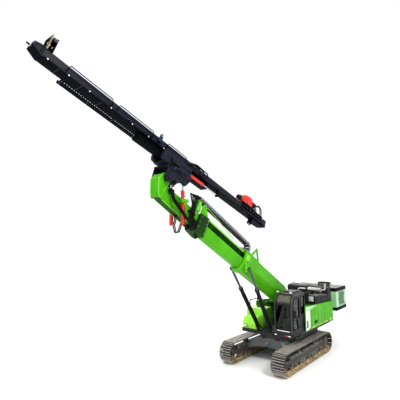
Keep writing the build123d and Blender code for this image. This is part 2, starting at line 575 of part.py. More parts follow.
INNER_OUT = [(-250, 50), (-250, -124), (-137, -366), (137, -366), (250, -124), (250, 50), (170, 50), (170, 300),
             (215, 300), (215, 362), (-215, 362), (-215, 300), (-170, 300), (-170, 50)]
with BuildPart() as boom_inner:
    prism(INNER_OUT, boom_cut(INNER_START), INNER_END - INNER_START)
    prism([(-225, 30), (-225, -118), (-125, -345), (125, -345), (225, -118), (225, 30)], boom_cut(INNER_START - 10),
          INNER_END - INNER_START - 20, mode=Mode.SUBTRACT)
    prism([(-150, 70), (-150, 330), (150, 330), (150, 70)], boom_cut(INNER_START - 10),
          INNER_END - INNER_START - 20, mode=Mode.SUBTRACT)
save(boom_inner.part, "boom_inner_section")

# arm beyond the inner section: root block, arm, six-sided pivot head
with BuildPart() as head_arm:
    slab([(INNER_END, -430), (HEAD_END, -380), (HEAD_END, 300), (INNER_END, 362)], BOOM_SIDE, -270, 270)
    slab([(HEAD_END - 1, -330), (10040, -268), (10040, 260), (HEAD_END - 1, 260)], BOOM_SIDE, -150, 150)
    slab([(HEAD_END + 100, -250), (9500, -220), (9500, 200), (HEAD_END + 100, 200)], BOOM_SIDE, -125, 125,
         mode=Mode.SUBTRACT)
    slab([(10020, -285), (10060, -285), (10180, -120), (10370, 250), (10300, 500), (10080, 640), (9930, 600), (9900, 400),
          (9950, 200)], BOOM_SIDE, -200, 200)
    rod(PIVOT - YV * 205, PIVOT + YV * 205, 150)
    # towing eye under the root block
    with BuildSketch(Plane(FOOT + YV * 25, x_dir=bu, z_dir=(0, -1, 0))) as eye:
        with Locations((7720, -450)):
            Circle(95)
    extrude(eye.sketch, amount=50)
    with BuildSketch(Plane(FOOT + YV * 30, x_dir=bu, z_dir=(0, -1, 0))) as eye_hole:
        with Locations((7720, -480)):
            Circle(32)
    extrude(eye_hole.sketch, amount=60, mode=Mode.SUBTRACT)
save(head_arm.part, "head_arm")

with BuildPart() as arm_brackets:
    # trunnion yokes that hold the tilt cylinders
    for sgn in (1, -1):
        ya, yb = (150, 400) if sgn > 0 else (-400, -150)
        slab([(TILT_X - 170, TILT_TRUN - 60), (TILT_X + 170, TILT_TRUN - 60), (TILT_X + 170, TILT_TRUN + 60),
              (TILT_X - 170, TILT_TRUN + 60)], SIDE, ya, yb)
        rod(Vector(TILT_X, sgn * TILT_Y, TILT_TRUN - 100), Vector(TILT_X, sgn * TILT_Y, TILT_TRUN + 100), 84,
            mode=Mode.SUBTRACT)
    # chain end bracket rising from the arm
    for y0 in (-110, 70):
        bbox_boom(8070, 8240, 260, 819, y0, y0 + 40)
    bbox_boom(8070, 8240, 780, 819, -110, 110)
    # front plate of the hose trough on the root block
    slab([(7640, 352.08), (8050, 301.24), (8050, 700), (7900, 760), (7640, 420)], BOOM_SIDE, 180, 215)
save(arm_brackets.part, "arm_brackets")

# hoses clipped to the arm: three along its left side, two in a hanging loop, four from the chain's end
def hose(pts, r, bend):
    """Round hose along points of the boom, with rounded corners."""
    pts = [bpt(*q) for q in pts]
    with BuildLine() as path:
        FilletPolyline(*pts, radius=bend)
    with BuildSketch(Plane(pts[0], z_dir=pts[1] - pts[0])) as hose_sk:
        Circle(r)
    sweep(hose_sk.sketch, path=path.line)


with BuildPart() as arm_hoses:
    for i, (h, y) in enumerate(((-308, 245), (-354, 245), (-354, 194))):
        ds, dh = 25 * i, -44 * i
        hose([(9660 + 45 * i, 220 - 33 * i, 245), (9500 + ds, -10 + dh, 300), (9220 + ds, -170 + dh, 402),
              (8700 + ds, -330 + 0.6 * dh, 402), (8380, h, y), (8060, h, y)], 21, 60)
    for y in (85, 17):
        hose([(8250, -420, y), (8640, -430, y), (8670, -650, y + 60), (8690, -810, y + 90), (8830, -915, y + 110),
              (9010, -740, y + 110), (9000, -560, y + 80), (8985, -420, y), (8985, -304, y)], 18, 60)
    for i in range(4):
        y, s1, n = -93 + 62 * i, 8600 - 60 * i, 3 - i
        hose([(8240, 885, y), (s1, 885, y), (s1 + 30, 360, 245), (s1 - 80, -80 - 58 * n, 245), (8060, -80 - 58 * n, 245)], 24, 60)
    # clips
    bbox_boom(9620, 9800, 120, 250, 150, 275)
    bbox_boom(8220, 8300, -460, -327, -60, 170)
    bbox_boom(8330, 8660, 50, 90, 150, 278)
save(arm_hoses.part, "arm_hoses")

# energy chain: upper run on the arm, bend that follows at half speed
CH_H, CH_T, CH_W = 885.0, 130.0, 130.0         # height of the run above the axis, depth, half width
BEND_S, BEND_R = 4620.0, 180.0
with BuildPart() as chain_run:
    bbox_boom(BEND_S + 1, 8240, CH_H - CH_T / 2, CH_H + CH_T / 2, -CH_W, CH_W)
save(chain_run.part, "energy_chain_run")
with BuildPart() as chain_bend:
    with BuildSketch(Plane(FOOT + YV * CH_W, x_dir=bu, z_dir=(0, -1, 0))) as bend:
        c = (BEND_S, CH_H - BEND_R)
        with Locations(c):
            Circle(BEND_R + CH_T / 2)
            Circle(BEND_R - CH_T / 2, mode=Mode.SUBTRACT)
        with Locations((BEND_S + 300, CH_H - BEND_R)):
            Rectangle(600, 700, mode=Mode.SUBTRACT)
        with Locations((BEND_S + 130, CH_H - 2 * BEND_R)):
            Rectangle(260, CH_T)
    extrude(bend.sketch, amount=2 * CH_W)
save(chain_bend.part, "energy_chain_bend")

# lift cylinders, leaning outwards from deck to boom
with BuildPart() as lift_barrels:
    for side, sgn in SIDES:
        b = LIFT_BASE + YV * (sgn * LIFT_BASE_Y)
        d = (LIFT_TOP + YV * (sgn * LIFT_TOP_Y) - b).normalized()
        rod(b + d * 130, b + d * LIFT_BARREL_L, LIFT_BARREL_R)
        rod(b + d * (LIFT_BARREL_L - 120), b + d * LIFT_BARREL_L, LIFT_BARREL_R + 14)
        rod(b, b + d * 140, 48)
        rod(b - YV * 52, b + YV * 52, 80)
        rod(b + d * 300, b + d * (LIFT_BARREL_L + 10), LIFT_ROD_R + 1, mode=Mode.SUBTRACT)
save(lift_barrels.part, "lift_barrels")

for side, sgn in SIDES:
    b = LIFT_BASE + YV * (sgn * LIFT_BASE_Y)
    t = LIFT_TOP + YV * (sgn * LIFT_TOP_Y)
    d = (t - b).normalized()
    with BuildPart() as piston:
        rod(b + d * 1200, t - d * 60, LIFT_ROD_R)
        rod(t - YV * 30, t + YV * 30, 88)
    save(piston.part, f"{side}_lift_rod")

# ================================================================ mast head
with BuildPart() as tilt_barrels:
    for sgn in (1, -1):
        c = Vector(TILT_X, sgn * TILT_Y, 0)
        rod(c + Vector(0, 0, TILT_Z0), c + Vector(0, 0, TILT_Z1), TILT_R)
        rod(c + Vector(0, 0, TILT_Z1 - 70), c + Vector(0, 0, TILT_Z1), TILT_R + 8)
        rod(c + Vector(0, 0, TILT_TRUN - 50), c + Vector(0, 0, TILT_TRUN + 50), TILT_R + 12)
        rod(c + Vector(0, -80, TILT_TRUN), c + Vector(0, 80, TILT_TRUN), 24)
        rod(c + Vector(0, 0, TILT_Z0 + 60), c + Vector(0, 0, TILT_Z1 + 10), TILT_ROD_R + 1, mode=Mode.SUBTRACT)
save(tilt_barrels.part, "tilt_barrels")

with BuildPart() as tilt_rods:
    for sgn in (1, -1):
        c = Vector(TILT_X, sgn * TILT_Y, 0)
        rod(c + Vector(0, 0, TILT_Z0 + 150), c + Vector(0, 0, TILT_EYE - 30), TILT_ROD_R)
        e = c + Vector(0, 0, TILT_EYE)
        rod(e - YV * 28, e + YV * 28, 62)
save(tilt_rods.part, "tilt_rods")

EYE_M, EYE_K = (Vector(TILT_X, 0, TILT_EYE) - PIVOT).dot(mu), (Vector(TILT_X, 0, TILT_EYE) - PIVOT).dot(mn)
with BuildPart() as bracket:
    for sgn in (1, -1):
        ya, yb = (325, 350) if sgn > 0 else (-350, -325)
        with BuildSketch(Plane(PIVOT + YV * yb, x_dir=mu, z_dir=(0, -1, 0))) as cheek:
            with BuildLine():
                Polyline((170, 330), (165, -20), (-60, -150), (-170, -60), (-330, 110), (-500, 60), (EYE_M - 40, EYE_K - 115),
                         (EYE_M - 130, EYE_K - 40), (-960, 330), close=True)
            make_face()
            Circle(172)
        extrude(cheek.sketch, amount=25)
        # hub ring beside the head
        y0, y1 = sorted((sgn * 206, sgn * 326))
        rod(PIVOT + YV * y0, PIVOT + YV * y1, 140)
        y0, y1 = sorted((sgn * 300, sgn * 372))
        rod(PIVOT + YV * y0, PIVOT + YV * y1, 80)
    mbox(-960, 200, 330, 380, -350, 350)
    # lower race of the mast's slewing ring
    rod(mpt(SWING_M, 380), mpt(SWING_M, 414), 400)
save(bracket.part, "mast_bracket")

with BuildPart() as slide_frame:
    rod(mpt(SWING_M, 416), mpt(SWING_M, 455), 400)
    mbox(-960, 320, 455, 510, -300, 300)
    for ya, yb, la, lb in ((185, 300, 112, 300), (-300, -185, -300, -112)):
        mbox(-960, 320, 509, 700, ya, yb)
        mbox(-960, 320, 699, 838, la, lb)
    rod(mpt(-1000, 600, 242), mpt(-90, 600, 242), 54, mode=Mode.SUBTRACT)
save(slide_frame.part, "slide_frame")

with BuildPart() as slide_barrel:
    rod(mpt(-1720, 600, 242), mpt(-92, 600, 242), 52)
    rod(mpt(-1721, 600, 242), mpt(-120, 600, 242), 26, mode=Mode.SUBTRACT)
save(slide_barrel.part, "slide_barrel")

with BuildPart() as slide_rod:
    rod(mpt(-2560, 600, 242), mpt(-930, 600, 242), 25)
    mbox(-2640, -2560, 540, 849, 190, 296)
save(slide_rod.part, "slide_rod")

# ================================================================ feed mast
with BuildPart() as beam:
    mbox(BEAM_M0, BEAM_M1, BEAM_K0, BEAM_K1, -BEAM_HALF, BEAM_HALF)
    mbox(BEAM_M0 - 10, BEAM_M1 + 10, BEAM_K0 + 16, BEAM_K1 - 16, -BEAM_HALF + 14, BEAM_HALF - 14, mode=Mode.SUBTRACT)
    # tee rail underneath that runs in the slide frame
    mbox(-2100, 1500, 690, BEAM_K0 + 1, -100, 100)
    mbox(-2100, 1500, 620, 691, -172, 172)
    # rails on the beam's top edges for the drill carriage
    for y0 in (-BEAM_HALF, BEAM_HALF - 50):
        mbox(BEAM_M0, BEAM_M1, BEAM_K1 - 1, BEAM_K1 + 40, y0, y0 + 50)
save(beam.part, "mast_beam")

# end block at the tail: chain tensioner, shackle lug and pointed stop
with BuildPart() as mast_ends:
    mbox(-6480, BEAM_M0, 800, 1120, -180, 180)
    slab([(-6250, 849), (-5480, 849), (-5400, 620), (-5520, 590), (-5700, 700), (-6250, 720)], MAST_SIDE, -120, 120)
    slab([(-6480, 900), (-6480, 1040), (-6660, 980)], MAST_SIDE, -40, 40)
    # tapered open nose at the other end
    slab([(BEAM_M1, 840), (BEAM_M1 + 30, 840), (BEAM_M1 + 290, 960), (BEAM_M1 + 290, 1080), (BEAM_M1 + 120, 1130),
          (BEAM_M1, 1100)], MAST_SIDE, -180, 180)
    slab([(BEAM_M1 + 70, 900), (BEAM_M1 + 220, 985), (BEAM_M1 + 220, 1040), (BEAM_M1 + 70, 1060)], MAST_SIDE, -200, 200,
         mode=Mode.SUBTRACT)
    rod(mpt(BEAM_M1 + 285, 1010), mpt(BEAM_M1 + 400, 1010), 22)
save(mast_ends.part, "mast_ends")

with BuildPart() as clamp:
    for m0, top in ((BEAM_M1 - 190, 1540), (BEAM_M1 - 40, 1560)):
        mbox(m0, m0 + 40, BEAM_K1 + 40, top, -200, 200)
    rod(mpt(BEAM_M1 - 210, DRILL_K), mpt(BEAM_M1 + 20, DRILL_K), 130, mode=Mode.SUBTRACT)
    # jaw cylinders between the plates
    for y0 in (-290, 140):
        mbox(BEAM_M1 - 151, BEAM_M1 - 39, 1290, 1450, y0, y0 + 150)
    for y0 in (-200, 100):
        mbox(BEAM_M1 - 151, BEAM_M1 - 39, BEAM_K1 + 40, 1180, y0, y0 + 100)
save(clamp.part, "front_clamp")

# perforated hose tray on the right of the front half
with BuildPart() as tray:
    mbox(450, 4150, 848, 856, -460, -180)
    mbox(450, 4150, 848, 942, -460, -452)
    mbox(450, 4150, 848, 942, -188, -180)
save(tray.part, "hose_tray")

# drill carriage with the red rotary drive
with BuildPart() as carriage:
    mbox(-6050, -4450, BEAM_K1 + 46, BEAM_K1 + 86, -230, 230)
    for y0 in (-230, 186):
        mbox(-6050, -4450, 960, BEAM_K1 + 47, y0, y0 + 44)
    mbox(-5060, -4980, BEAM_K1 + 85, DRILL_K - 160, -150, 150)
    mbox(-4580, -4500, BEAM_K1 + 85, DRILL_K - 160, -150, 150)
save(carriage.part, "drill_carriage")

with BuildPart() as drive:
    slab([(-5100, DRILL_K - 159), (-4460, DRILL_K - 159), (-4400, DRILL_K - 60), (-4400, DRILL_K + 110),
          (-4600, DRILL_K + 190), (-4980, DRILL_K + 230), (-5100, DRILL_K + 90)], MAST_SIDE, -210, 210)
    rod(mpt(-5200, DRILL_K), mpt(-4300, DRILL_K), 70.3, mode=Mode.SUBTRACT)
    # hydraulic motors behind the gearbox
    for y in (-130, 130):
        rod(mpt(-5430, DRILL_K + 60, y), mpt(-5100, DRILL_K + 60, y), 85)
save(drive.part, "rotary_drive")

with BuildPart() as spindle:
    rod(mpt(-5420, DRILL_K), mpt(-4180, DRILL_K), 40)
    rod(mpt(-5095, DRILL_K), mpt(-4405, DRILL_K), 70)
    rod(mpt(-4390, DRILL_K), mpt(-4250, DRILL_K), 95)
    # water swivel behind
    rod(mpt(-5720, DRILL_K), mpt(-5440, DRILL_K), 62)
    rod(mpt(-5445, DRILL_K), mpt(-5415, DRILL_K), 40)
save(spindle.part, "drill_spindle")

# hoses from the motors back to the carriage's bulkhead
with BuildPart() as hoses:
    for y, dk in ((-170, 0), (-105, 35), (105, 35), (170, 0)):
        pts = [mpt(-5430, DRILL_K + 60, y), mpt(-5560, DRILL_K + 60, y), mpt(-5720, DRILL_K + 180 + dk, y),
               mpt(-5920, DRILL_K + 100 + dk, y), mpt(-6000, DRILL_K - 80, y), mpt(-6000, BEAM_K1 + 86, y)]
        with BuildLine() as path:
            FilletPolyline(*pts, radius=70)
        with BuildSketch(Plane(pts[0], z_dir=pts[1] - pts[0])) as ring_sk:
            Circle(19)
        sweep(ring_sk.sketch, path=path.line)
save(hoses.part, "drive_hoses")
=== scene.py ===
import bpy
import bmesh
import json
from math import sin, cos, pi, radians, sqrt, hypot
from mathutils import Vector, Matrix


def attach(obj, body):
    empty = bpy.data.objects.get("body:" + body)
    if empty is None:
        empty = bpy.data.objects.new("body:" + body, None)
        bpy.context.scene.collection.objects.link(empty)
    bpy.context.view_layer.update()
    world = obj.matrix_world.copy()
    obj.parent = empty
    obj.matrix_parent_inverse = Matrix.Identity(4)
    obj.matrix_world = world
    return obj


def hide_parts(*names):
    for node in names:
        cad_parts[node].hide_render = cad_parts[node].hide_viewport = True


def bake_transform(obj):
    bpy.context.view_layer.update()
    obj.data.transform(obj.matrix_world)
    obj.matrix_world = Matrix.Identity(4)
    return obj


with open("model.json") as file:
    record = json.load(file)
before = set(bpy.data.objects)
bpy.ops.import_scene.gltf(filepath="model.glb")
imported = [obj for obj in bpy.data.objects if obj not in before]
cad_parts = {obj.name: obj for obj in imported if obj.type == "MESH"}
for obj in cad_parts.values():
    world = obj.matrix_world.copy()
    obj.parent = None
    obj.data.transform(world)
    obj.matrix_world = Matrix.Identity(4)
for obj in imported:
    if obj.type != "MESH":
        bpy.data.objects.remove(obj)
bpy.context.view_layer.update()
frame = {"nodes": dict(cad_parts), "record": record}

NODES = frame["nodes"]
NODE_BODY = {n: b for b, ns in frame["record"]["behaviour"]["bodies"].items() for n in ns}

# ------------------------------------------------------------------ frames shared with the CAD, in metres
BD, MD = radians(28.5), radians(20.7)
bu, bn = Vector((cos(BD), 0, sin(BD))), Vector((-sin(BD), 0, cos(BD)))
mu, mn = Vector((cos(MD), 0, sin(MD))), Vector((-sin(MD), 0, cos(MD)))
FOOT, PIVOT = Vector((-1.0, 0, 2.39)), Vector((7.65, 0, 7.62))
YV = Vector((0, 1, 0))


def W(x, z, y):
    return Vector((x, y, z))


def B(s, h, y):
    return FOOT + bu * s + bn * h + YV * y


def M(m, k, y):
    return PIVOT + mu * m + mn * k + YV * y


# ------------------------------------------------------------------ camera, light, floor
CAM_POS, YAW, PITCH, ROLL, FOCAL = Vector((15.706, 8.535, 5.582)), -2.4347, 0.11035, -0.00775, 351.7
look = Vector((cos(PITCH) * cos(YAW), cos(PITCH) * sin(YAW), sin(PITCH)))
right = Vector((sin(YAW), -cos(YAW), 0))
up = right.cross(look)
r2 = right * cos(ROLL) + up * sin(ROLL)
u2 = up * cos(ROLL) - right * sin(ROLL)
cam_data = bpy.data.cameras.new("photo_camera")
cam_data.sensor_width = 36.0
cam_data.lens = FOCAL * 36.0 / 400.0
cam_data.clip_end = 400.0
cam = bpy.data.objects.new("photo_camera", cam_data)
cam.matrix_world = Matrix(((r2.x, u2.x, -look.x, CAM_POS.x), (r2.y, u2.y, -look.y, CAM_POS.y),
                           (r2.z, u2.z, -look.z, CAM_POS.z), (0, 0, 0, 1)))
bpy.context.scene.collection.objects.link(cam)
bpy.context.scene.camera = cam
bpy.context.scene.view_settings.view_transform = "Standard"
bpy.context.scene.view_settings.gamma = 0.80
bpy.context.scene.view_settings.exposure = 0.2


def area(name, pos, target, size, power, col=(1, 1, 1)):
    light = bpy.data.lights.new(name, "AREA")
    light.shape, light.size, light.energy, light.color = "DISK", size, power, col
    ob = bpy.data.objects.new(name, light)
    ob.matrix_world = Matrix.Translation(pos) @ (Vector(target) - Vector(pos)).to_track_quat("-Z", "Y").to_matrix().to_4x4()
    bpy.context.scene.collection.objects.link(ob)


area("key", (10, 20, 24), (1, 0, 4), 10, 4200, (1, 0.985, 0.96))
area("front_fill", (26, -6, 10), (2, 0, 4), 14, 900, (0.96, 0.98, 1))
area("rear_fill", (-18, -14, 14), (0, 0, 3), 14, 1500)
world = bpy.data.worlds.new("studio")
bpy.context.scene.world = world
world.use_nodes = True
wn = world.node_tree
sky = wn.nodes.new("ShaderNodeSeparateXYZ")
wn.links.new(wn.nodes.new("ShaderNodeTexCoord").outputs["Generated"], sky.inputs[0])
lift_ = wn.nodes.new("ShaderNodeMapRange")
wn.links.new(sky.outputs[2], lift_.inputs[0])
lift_.inputs[1].default_value, lift_.inputs[2].default_value = 0.55, 1.0
lift_.inputs[3].default_value, lift_.inputs[4].default_value = 0.89, 1.35
wn.links.new(lift_.outputs[0], wn.nodes["Background"].inputs["Strength"])
wn.nodes["Background"].inputs["Color"].default_value = (0.985, 0.99, 1.0, 1)


# ------------------------------------------------------------------ materials
def mix(nt, fac, a, b):
    """Colour mix; fac, a and b are sockets or plain values."""
    n = nt.nodes.new("ShaderNodeMix")
    n.data_type = "RGBA"
    for sock, v in ((n.inputs[0], fac), (n.inputs[6], a), (n.inputs[7], b)):
        if hasattr(v, "links"):
            nt.links.new(v, sock)
        else:
            sock.default_value = v if not isinstance(v, tuple) else (*v[:3], 1)
    return n.outputs[2]


def math(nt, op, a, b=0.0, clamp=False):
    n = nt.nodes.new("ShaderNodeMath")
    n.operation, n.use_clamp = op, clamp
    for i, v in enumerate((a, b)):
        if hasattr(v, "links"):
            nt.links.new(v, n.inputs[i])
        else:
            n.inputs[i].default_value = v
    return n.outputs[0]


def ramp(nt, v, lo, hi):
    n = nt.nodes.new("ShaderNodeMapRange")
    nt.links.new(v, n.inputs[0])
    n.inputs[1].default_value, n.inputs[2].default_value = lo, hi
    return n.outputs[0]


def noise(nt, vec, scale, detail=4.0, rough=0.55):
    n = nt.nodes.new("ShaderNodeTexNoise")
    n.inputs["Scale"].default_value = scale
    n.inputs["Detail"].default_value = detail
    n.inputs["Roughness"].default_value = rough
    nt.links.new(vec, n.inputs["Vector"])
    return n.outputs[0]


def surface(name, base, rough=0.4, metal=0.0, vary=0.16, patch=1.3, grime=(0.08, 0.07, 0.06), grime_amt=0.18,
            dust=0.12, dust_col=(0.42, 0.38, 0.32), bump=0.05, grain=160.0, low_dirt=None, coat=0.0, spec=0.5, streak=0.0):
    """Painted or bare surface: broad tone variation, grime in patches, dust on upward faces, streaks, fine grain."""
    mat = bpy.data.materials.new(name)
    mat.use_nodes = True
    nt = mat.node_tree
    bsdf = nt.nodes["Principled BSDF"]
    tc = nt.nodes.new("ShaderNodeTexCoord").outputs["Object"]
    broad = noise(nt, tc, patch, 5.0)
    fine = noise(nt, tc, 14.0, 6.0, 0.65)
    lo = tuple(c * (1 - vary) for c in base)
    hi = tuple(min(1.0, c * (1 + vary)) for c in base)
    col = mix(nt, ramp(nt, broad, 0.3, 0.7), lo, hi)
    gfac = math(nt, "MULTIPLY", ramp(nt, fine, 0.52, 0.78), grime_amt)
    col = mix(nt, gfac, col, grime)
    if streak:
        sc = nt.nodes.new("ShaderNodeMapping")
        sc.inputs["Scale"].default_value = (9.0, 9.0, 0.55)
        nt.links.new(tc, sc.inputs["Vector"])
        run = noise(nt, sc.outputs[0], 2.2, 4.0)
        col = mix(nt, math(nt, "MULTIPLY", ramp(nt, run, 0.55, 0.75), streak), col, grime)
    if dust:
        geo = nt.nodes.new("ShaderNodeNewGeometry")
        sep = nt.nodes.new("ShaderNodeSeparateXYZ")
        nt.links.new(geo.outputs["Normal"], sep.inputs[0])
        upf = ramp(nt, sep.outputs[2], 0.25, 1.0)
        dn = ramp(nt, noise(nt, tc, 4.5, 5.0), 0.35, 0.7)
        col = mix(nt, math(nt, "MULTIPLY", math(nt, "MULTIPLY", upf, dn), dust), col, dust_col)
    if low_dirt:
        top, amount, dcol = low_dirt
        sep2 = nt.nodes.new("ShaderNodeSeparateXYZ")
        nt.links.new(tc, sep2.inputs[0])
        hf = ramp(nt, sep2.outputs[2], top, 0.05)
        dn2 = ramp(nt, noise(nt, tc, 7.0, 6.0, 0.7), 0.32, 0.62)
        col = mix(nt, math(nt, "MULTIPLY", math(nt, "MULTIPLY", hf, dn2), amount), col, dcol)
    nt.links.new(col, bsdf.inputs["Base Color"])
    rr = math(nt, "ADD", math(nt, "MULTIPLY", math(nt, "SUBTRACT", fine, 0.5), 0.35), rough, True)
    nt.links.new(rr, bsdf.inputs["Roughness"])
    bsdf.inputs["Metallic"].default_value = metal
    bsdf.inputs["Specular IOR Level"].default_value = spec
    if coat:
        bsdf.inputs["Coat Weight"].default_value = coat
        bsdf.inputs["Coat Roughness"].default_value = 0.12
    if bump:
        bn_ = nt.nodes.new("ShaderNodeBump")
        bn_.inputs["Strength"].default_value = bump
        bn_.inputs["Distance"].default_value = 0.004
        nt.links.new(noise(nt, tc, grain, 3.0), bn_.inputs["Height"])
        nt.links.new(bn_.outputs[0], bsdf.inputs["Normal"])
    return mat


EARTH = (0.42, 0.33, 0.20)
LIME = surface("lime_paint", (0.088, 0.385, 0.006), 0.40, vary=0.14, dust=0.04, streak=0.10, grime=(0.02, 0.07, 0.01), spec=0.22, bump=0.03)
# brighter copy of the lime paint: painted highlight on the lit tops, rims, beads and hems of lime parts
LIME_LIT = surface("lime_painted_highlight", (0.20, 0.60, 0.05), 0.36, vary=0.10, dust=0.04, spec=0.4, bump=0.03)
LIME_DARK = surface("lime_shadow", (0.010, 0.062, 0.003), 0.5, vary=0.3, dust=0.0, grime_amt=0.3, spec=0.2)
TANK_LIME = surface("tank_paint", (0.34, 0.76, 0.075), 0.40, vary=0.14, dust=0.08, streak=0.10, spec=0.3, bump=0.03)
PALE = surface("pale_green_paint", (0.42, 0.65, 0.43), 0.44, vary=0.10, dust=0.08, streak=0.08, spec=0.3, bump=0.03)
CAB = surface("cab_paint", (0.034, 0.035, 0.035), 0.46, vary=0.25, dust=0.18, streak=0.12, bump=0.05, spec=0.3)
CABEDGE = surface("cab_tube", (0.20, 0.21, 0.22), 0.40, vary=0.15, dust=0.08, spec=0.4)
CABTUBE = surface("cab_corner_tube", (0.075, 0.078, 0.082), 0.34, vary=0.2, dust=0.10, spec=0.5)
COWL = surface("cowl_paint", (0.026, 0.026, 0.032), 0.52, vary=0.25, dust=0.75, dust_col=(0.34, 0.33, 0.33), streak=0.1, spec=0.2)
BLACK = surface("black_paint", (0.012, 0.013, 0.014), 0.42, vary=0.25, dust=0.08, bump=0.05, spec=0.25)
GLOSS = surface("cylinder_paint", (0.010, 0.012, 0.017), 0.34, vary=0.3, dust=0.05, spec=0.35, bump=0.02)
MAST = surface("mast_paint", (0.0030, 0.0036, 0.0062), 0.55, vary=0.35, grime=(0.016, 0.014, 0.012), grime_amt=0.2, dust=0.0,
               streak=0.05, bump=0.05, spec=0.05)
# MASTLIT is a lighter copy of the mast paint: painted light on the sides of the beam
MASTLIT = surface("mast_paint_lit", (0.0125, 0.0155, 0.0285), 0.42, vary=0.35, grime=(0.03, 0.026, 0.02), grime_amt=0.2, dust=0.0, bump=0.05, spec=0.18)
OLIVE = surface("mast_seam", (0.085, 0.075, 0.055), 0.5, vary=0.4, grime_amt=0.4, dust=0.0, spec=0.2)
# paler copy of the cowl paint for the cowl's upward faces: dust, and a painted highlight on its lit top
COWL_TOP_DUST_SHEEN = surface("cowl_top_dust_and_highlight", (0.115, 0.110, 0.105), 0.55, vary=0.3, patch=2.5, grime_amt=0.3, dust=0.5, dust_col=(0.36, 0.34, 0.31), spec=0.2)
ROOFTOP = surface("cabinet_roof_top", (0.25, 0.27, 0.23), 0.55, vary=0.2, grime=(0.14, 0.15, 0.12), grime_amt=0.35, dust=0.3, spec=0.25)
BOLTDARK = surface("blackened_bolt", (0.030, 0.033, 0.040), 0.45, metal=0.4, vary=0.25, dust=0.0, spec=0.25)
ROOFBLACK = surface("cabinet_black", (0.006, 0.007, 0.006), 0.55, vary=0.3, dust=0.04, bump=0.05, spec=0.10)
# pale copy of the frame paint for upward faces: painted light, so the frame tops read lit although the deck shades
# them; the grime and dust noise on it are real dirt
FRAME_TOP_LIT = surface("frame_top_painted_light", (0.74, 0.73, 0.69), 0.55, vary=0.15, grime=(0.30, 0.27, 0.22), grime_amt=0.35, dust=0.2, spec=0.3)
NAVY = surface("rail_paint", (0.010, 0.030, 0.065), 0.40, vary=0.25, dust=0.0, spec=0.3)
# opaque greyish-brown pane for the upper front of the cab glass
UPPER_PANE = surface("upper_front_pane", (0.17, 0.155, 0.13), 0.34, vary=0.3, patch=6.0, grime_amt=0.3, dust=0.2, dust_col=(0.32, 0.30, 0.26), spec=0.4)
BRACKET = surface("bracket_paint", (0.0135, 0.0170, 0.0300), 0.42, vary=0.35, grime_amt=0.12, dust=0.05, bump=0.05, spec=0.2)
RED = surface("red_paint", (0.70, 0.030, 0.016), 0.34, vary=0.16, dust=0.04, grime_amt=0.12, coat=0.2, bump=0.02)
WHITE = surface("white_paint", (0.80, 0.80, 0.79), 0.42, vary=0.06, grime=(0.35, 0.32, 0.28), grime_amt=0.15, dust=0.05)
YELLOW = surface("yellow_film", (0.80, 0.62, 0.05), 0.4, vary=0.10, grime_amt=0.15)
TAN = surface("tan_line", (0.42, 0.31, 0.16), 0.5, vary=0.3, grime_amt=0.3, dust=0.0)
SILVER = surface("heat_dulled_metal", (0.62, 0.61, 0.59), 0.34, metal=0.85, vary=0.14, grime=(0.30, 0.24, 0.18), grime_amt=0.25)
RODDARK = surface("lift_rod_steel", (0.11, 0.115, 0.12), 0.26, metal=0.8, vary=0.2, grime_amt=0.2, dust=0.0, bump=0.0)
CHROME = surface("chromed_rod", (0.55, 0.56, 0.58), 0.16, metal=1.0, vary=0.06, grime=(0.25, 0.24, 0.22), grime_amt=0.15,
                 dust=0.0, bump=0.0)
STEEL = surface("machined_steel", (0.40, 0.41, 0.42), 0.32, metal=0.9, vary=0.15, grime=(0.10, 0.09, 0.08), grime_amt=0.3,
                bump=0.04)
LOUVRE = surface("louvre_paint", (0.17, 0.24, 0.18), 0.48, vary=0.15, dust=0.12, spec=0.3)
SHOE = surface("track_steel", (0.055, 0.051, 0.048), 0.60, metal=0.3, vary=0.35, patch=3.0, grime=(0.15, 0.10, 0.065),
               grime_amt=0.40, dust=0.18, dust_col=(0.24, 0.225, 0.205), bump=0.35, grain=60.0,
               low_dirt=(0.30, 0.9, (0.80, 0.66, 0.44)), spec=0.3)
WORN = surface("worn_grouser", (0.36, 0.34, 0.31), 0.44, metal=0.3, vary=0.25, patch=5.0, grime=(0.17, 0.12, 0.08), grime_amt=0.3,
               dust=0.15, bump=0.2, grain=70.0, spec=0.4, low_dirt=(0.26, 0.6, (0.80, 0.66, 0.44)))
ROLLER = surface("roller_steel", (0.13, 0.115, 0.10), 0.6, metal=0.3, vary=0.3, grime=EARTH, grime_amt=0.5, dust=0.2,
                 bump=0.25, grain=50.0, low_dirt=(0.32, 0.95, (0.80, 0.66, 0.44)))
SIDEFRAME = surface("side_frame_paint", (0.062, 0.061, 0.060), 0.50, vary=0.25, grime=(0.26, 0.22, 0.17), grime_amt=0.3,
                    dust=0.9, dust_col=(0.46, 0.43, 0.38), low_dirt=(0.34, 0.7, (0.80, 0.66, 0.44)), spec=0.3)
CENTRE = surface("centre_frame_paint", (0.150, 0.160, 0.165), 0.5, vary=0.2, grime=(0.20, 0.17, 0.13), grime_amt=0.25, dust=0.6,
                 dust_col=(0.44, 0.43, 0.40), spec=0.3)
IRON = surface("cast_block", (0.10, 0.10, 0.095), 0.6, metal=0.2, vary=0.25, bump=0.3, grain=60.0)
TAIL = surface("tail_casting", (0.055, 0.056, 0.060), 0.5, vary=0.2, dust=0.3, bump=0.2, grain=45.0, streak=0.15)
RUBBER = surface("hose_rubber", (0.009, 0.009, 0.009), 0.55, vary=0.3, grime=(0.05, 0.042, 0.034), grime_amt=0.3, dust=0.06, bump=0.12, grain=220.0, spec=0.15)
TRIM = surface("moulded_trim", (0.020, 0.020, 0.022), 0.6, vary=0.2, dust=0.1, bump=0.25, grain=420.0)
CHAINGREY = surface("chain_link_plastic", (0.34, 0.35, 0.37), 0.45, vary=0.15, grime_amt=0.25, dust=0.1)
CHAINDARK = surface("chain_inner_plastic", (0.025, 0.025, 0.027), 0.5, vary=0.2, grime_amt=0.2)


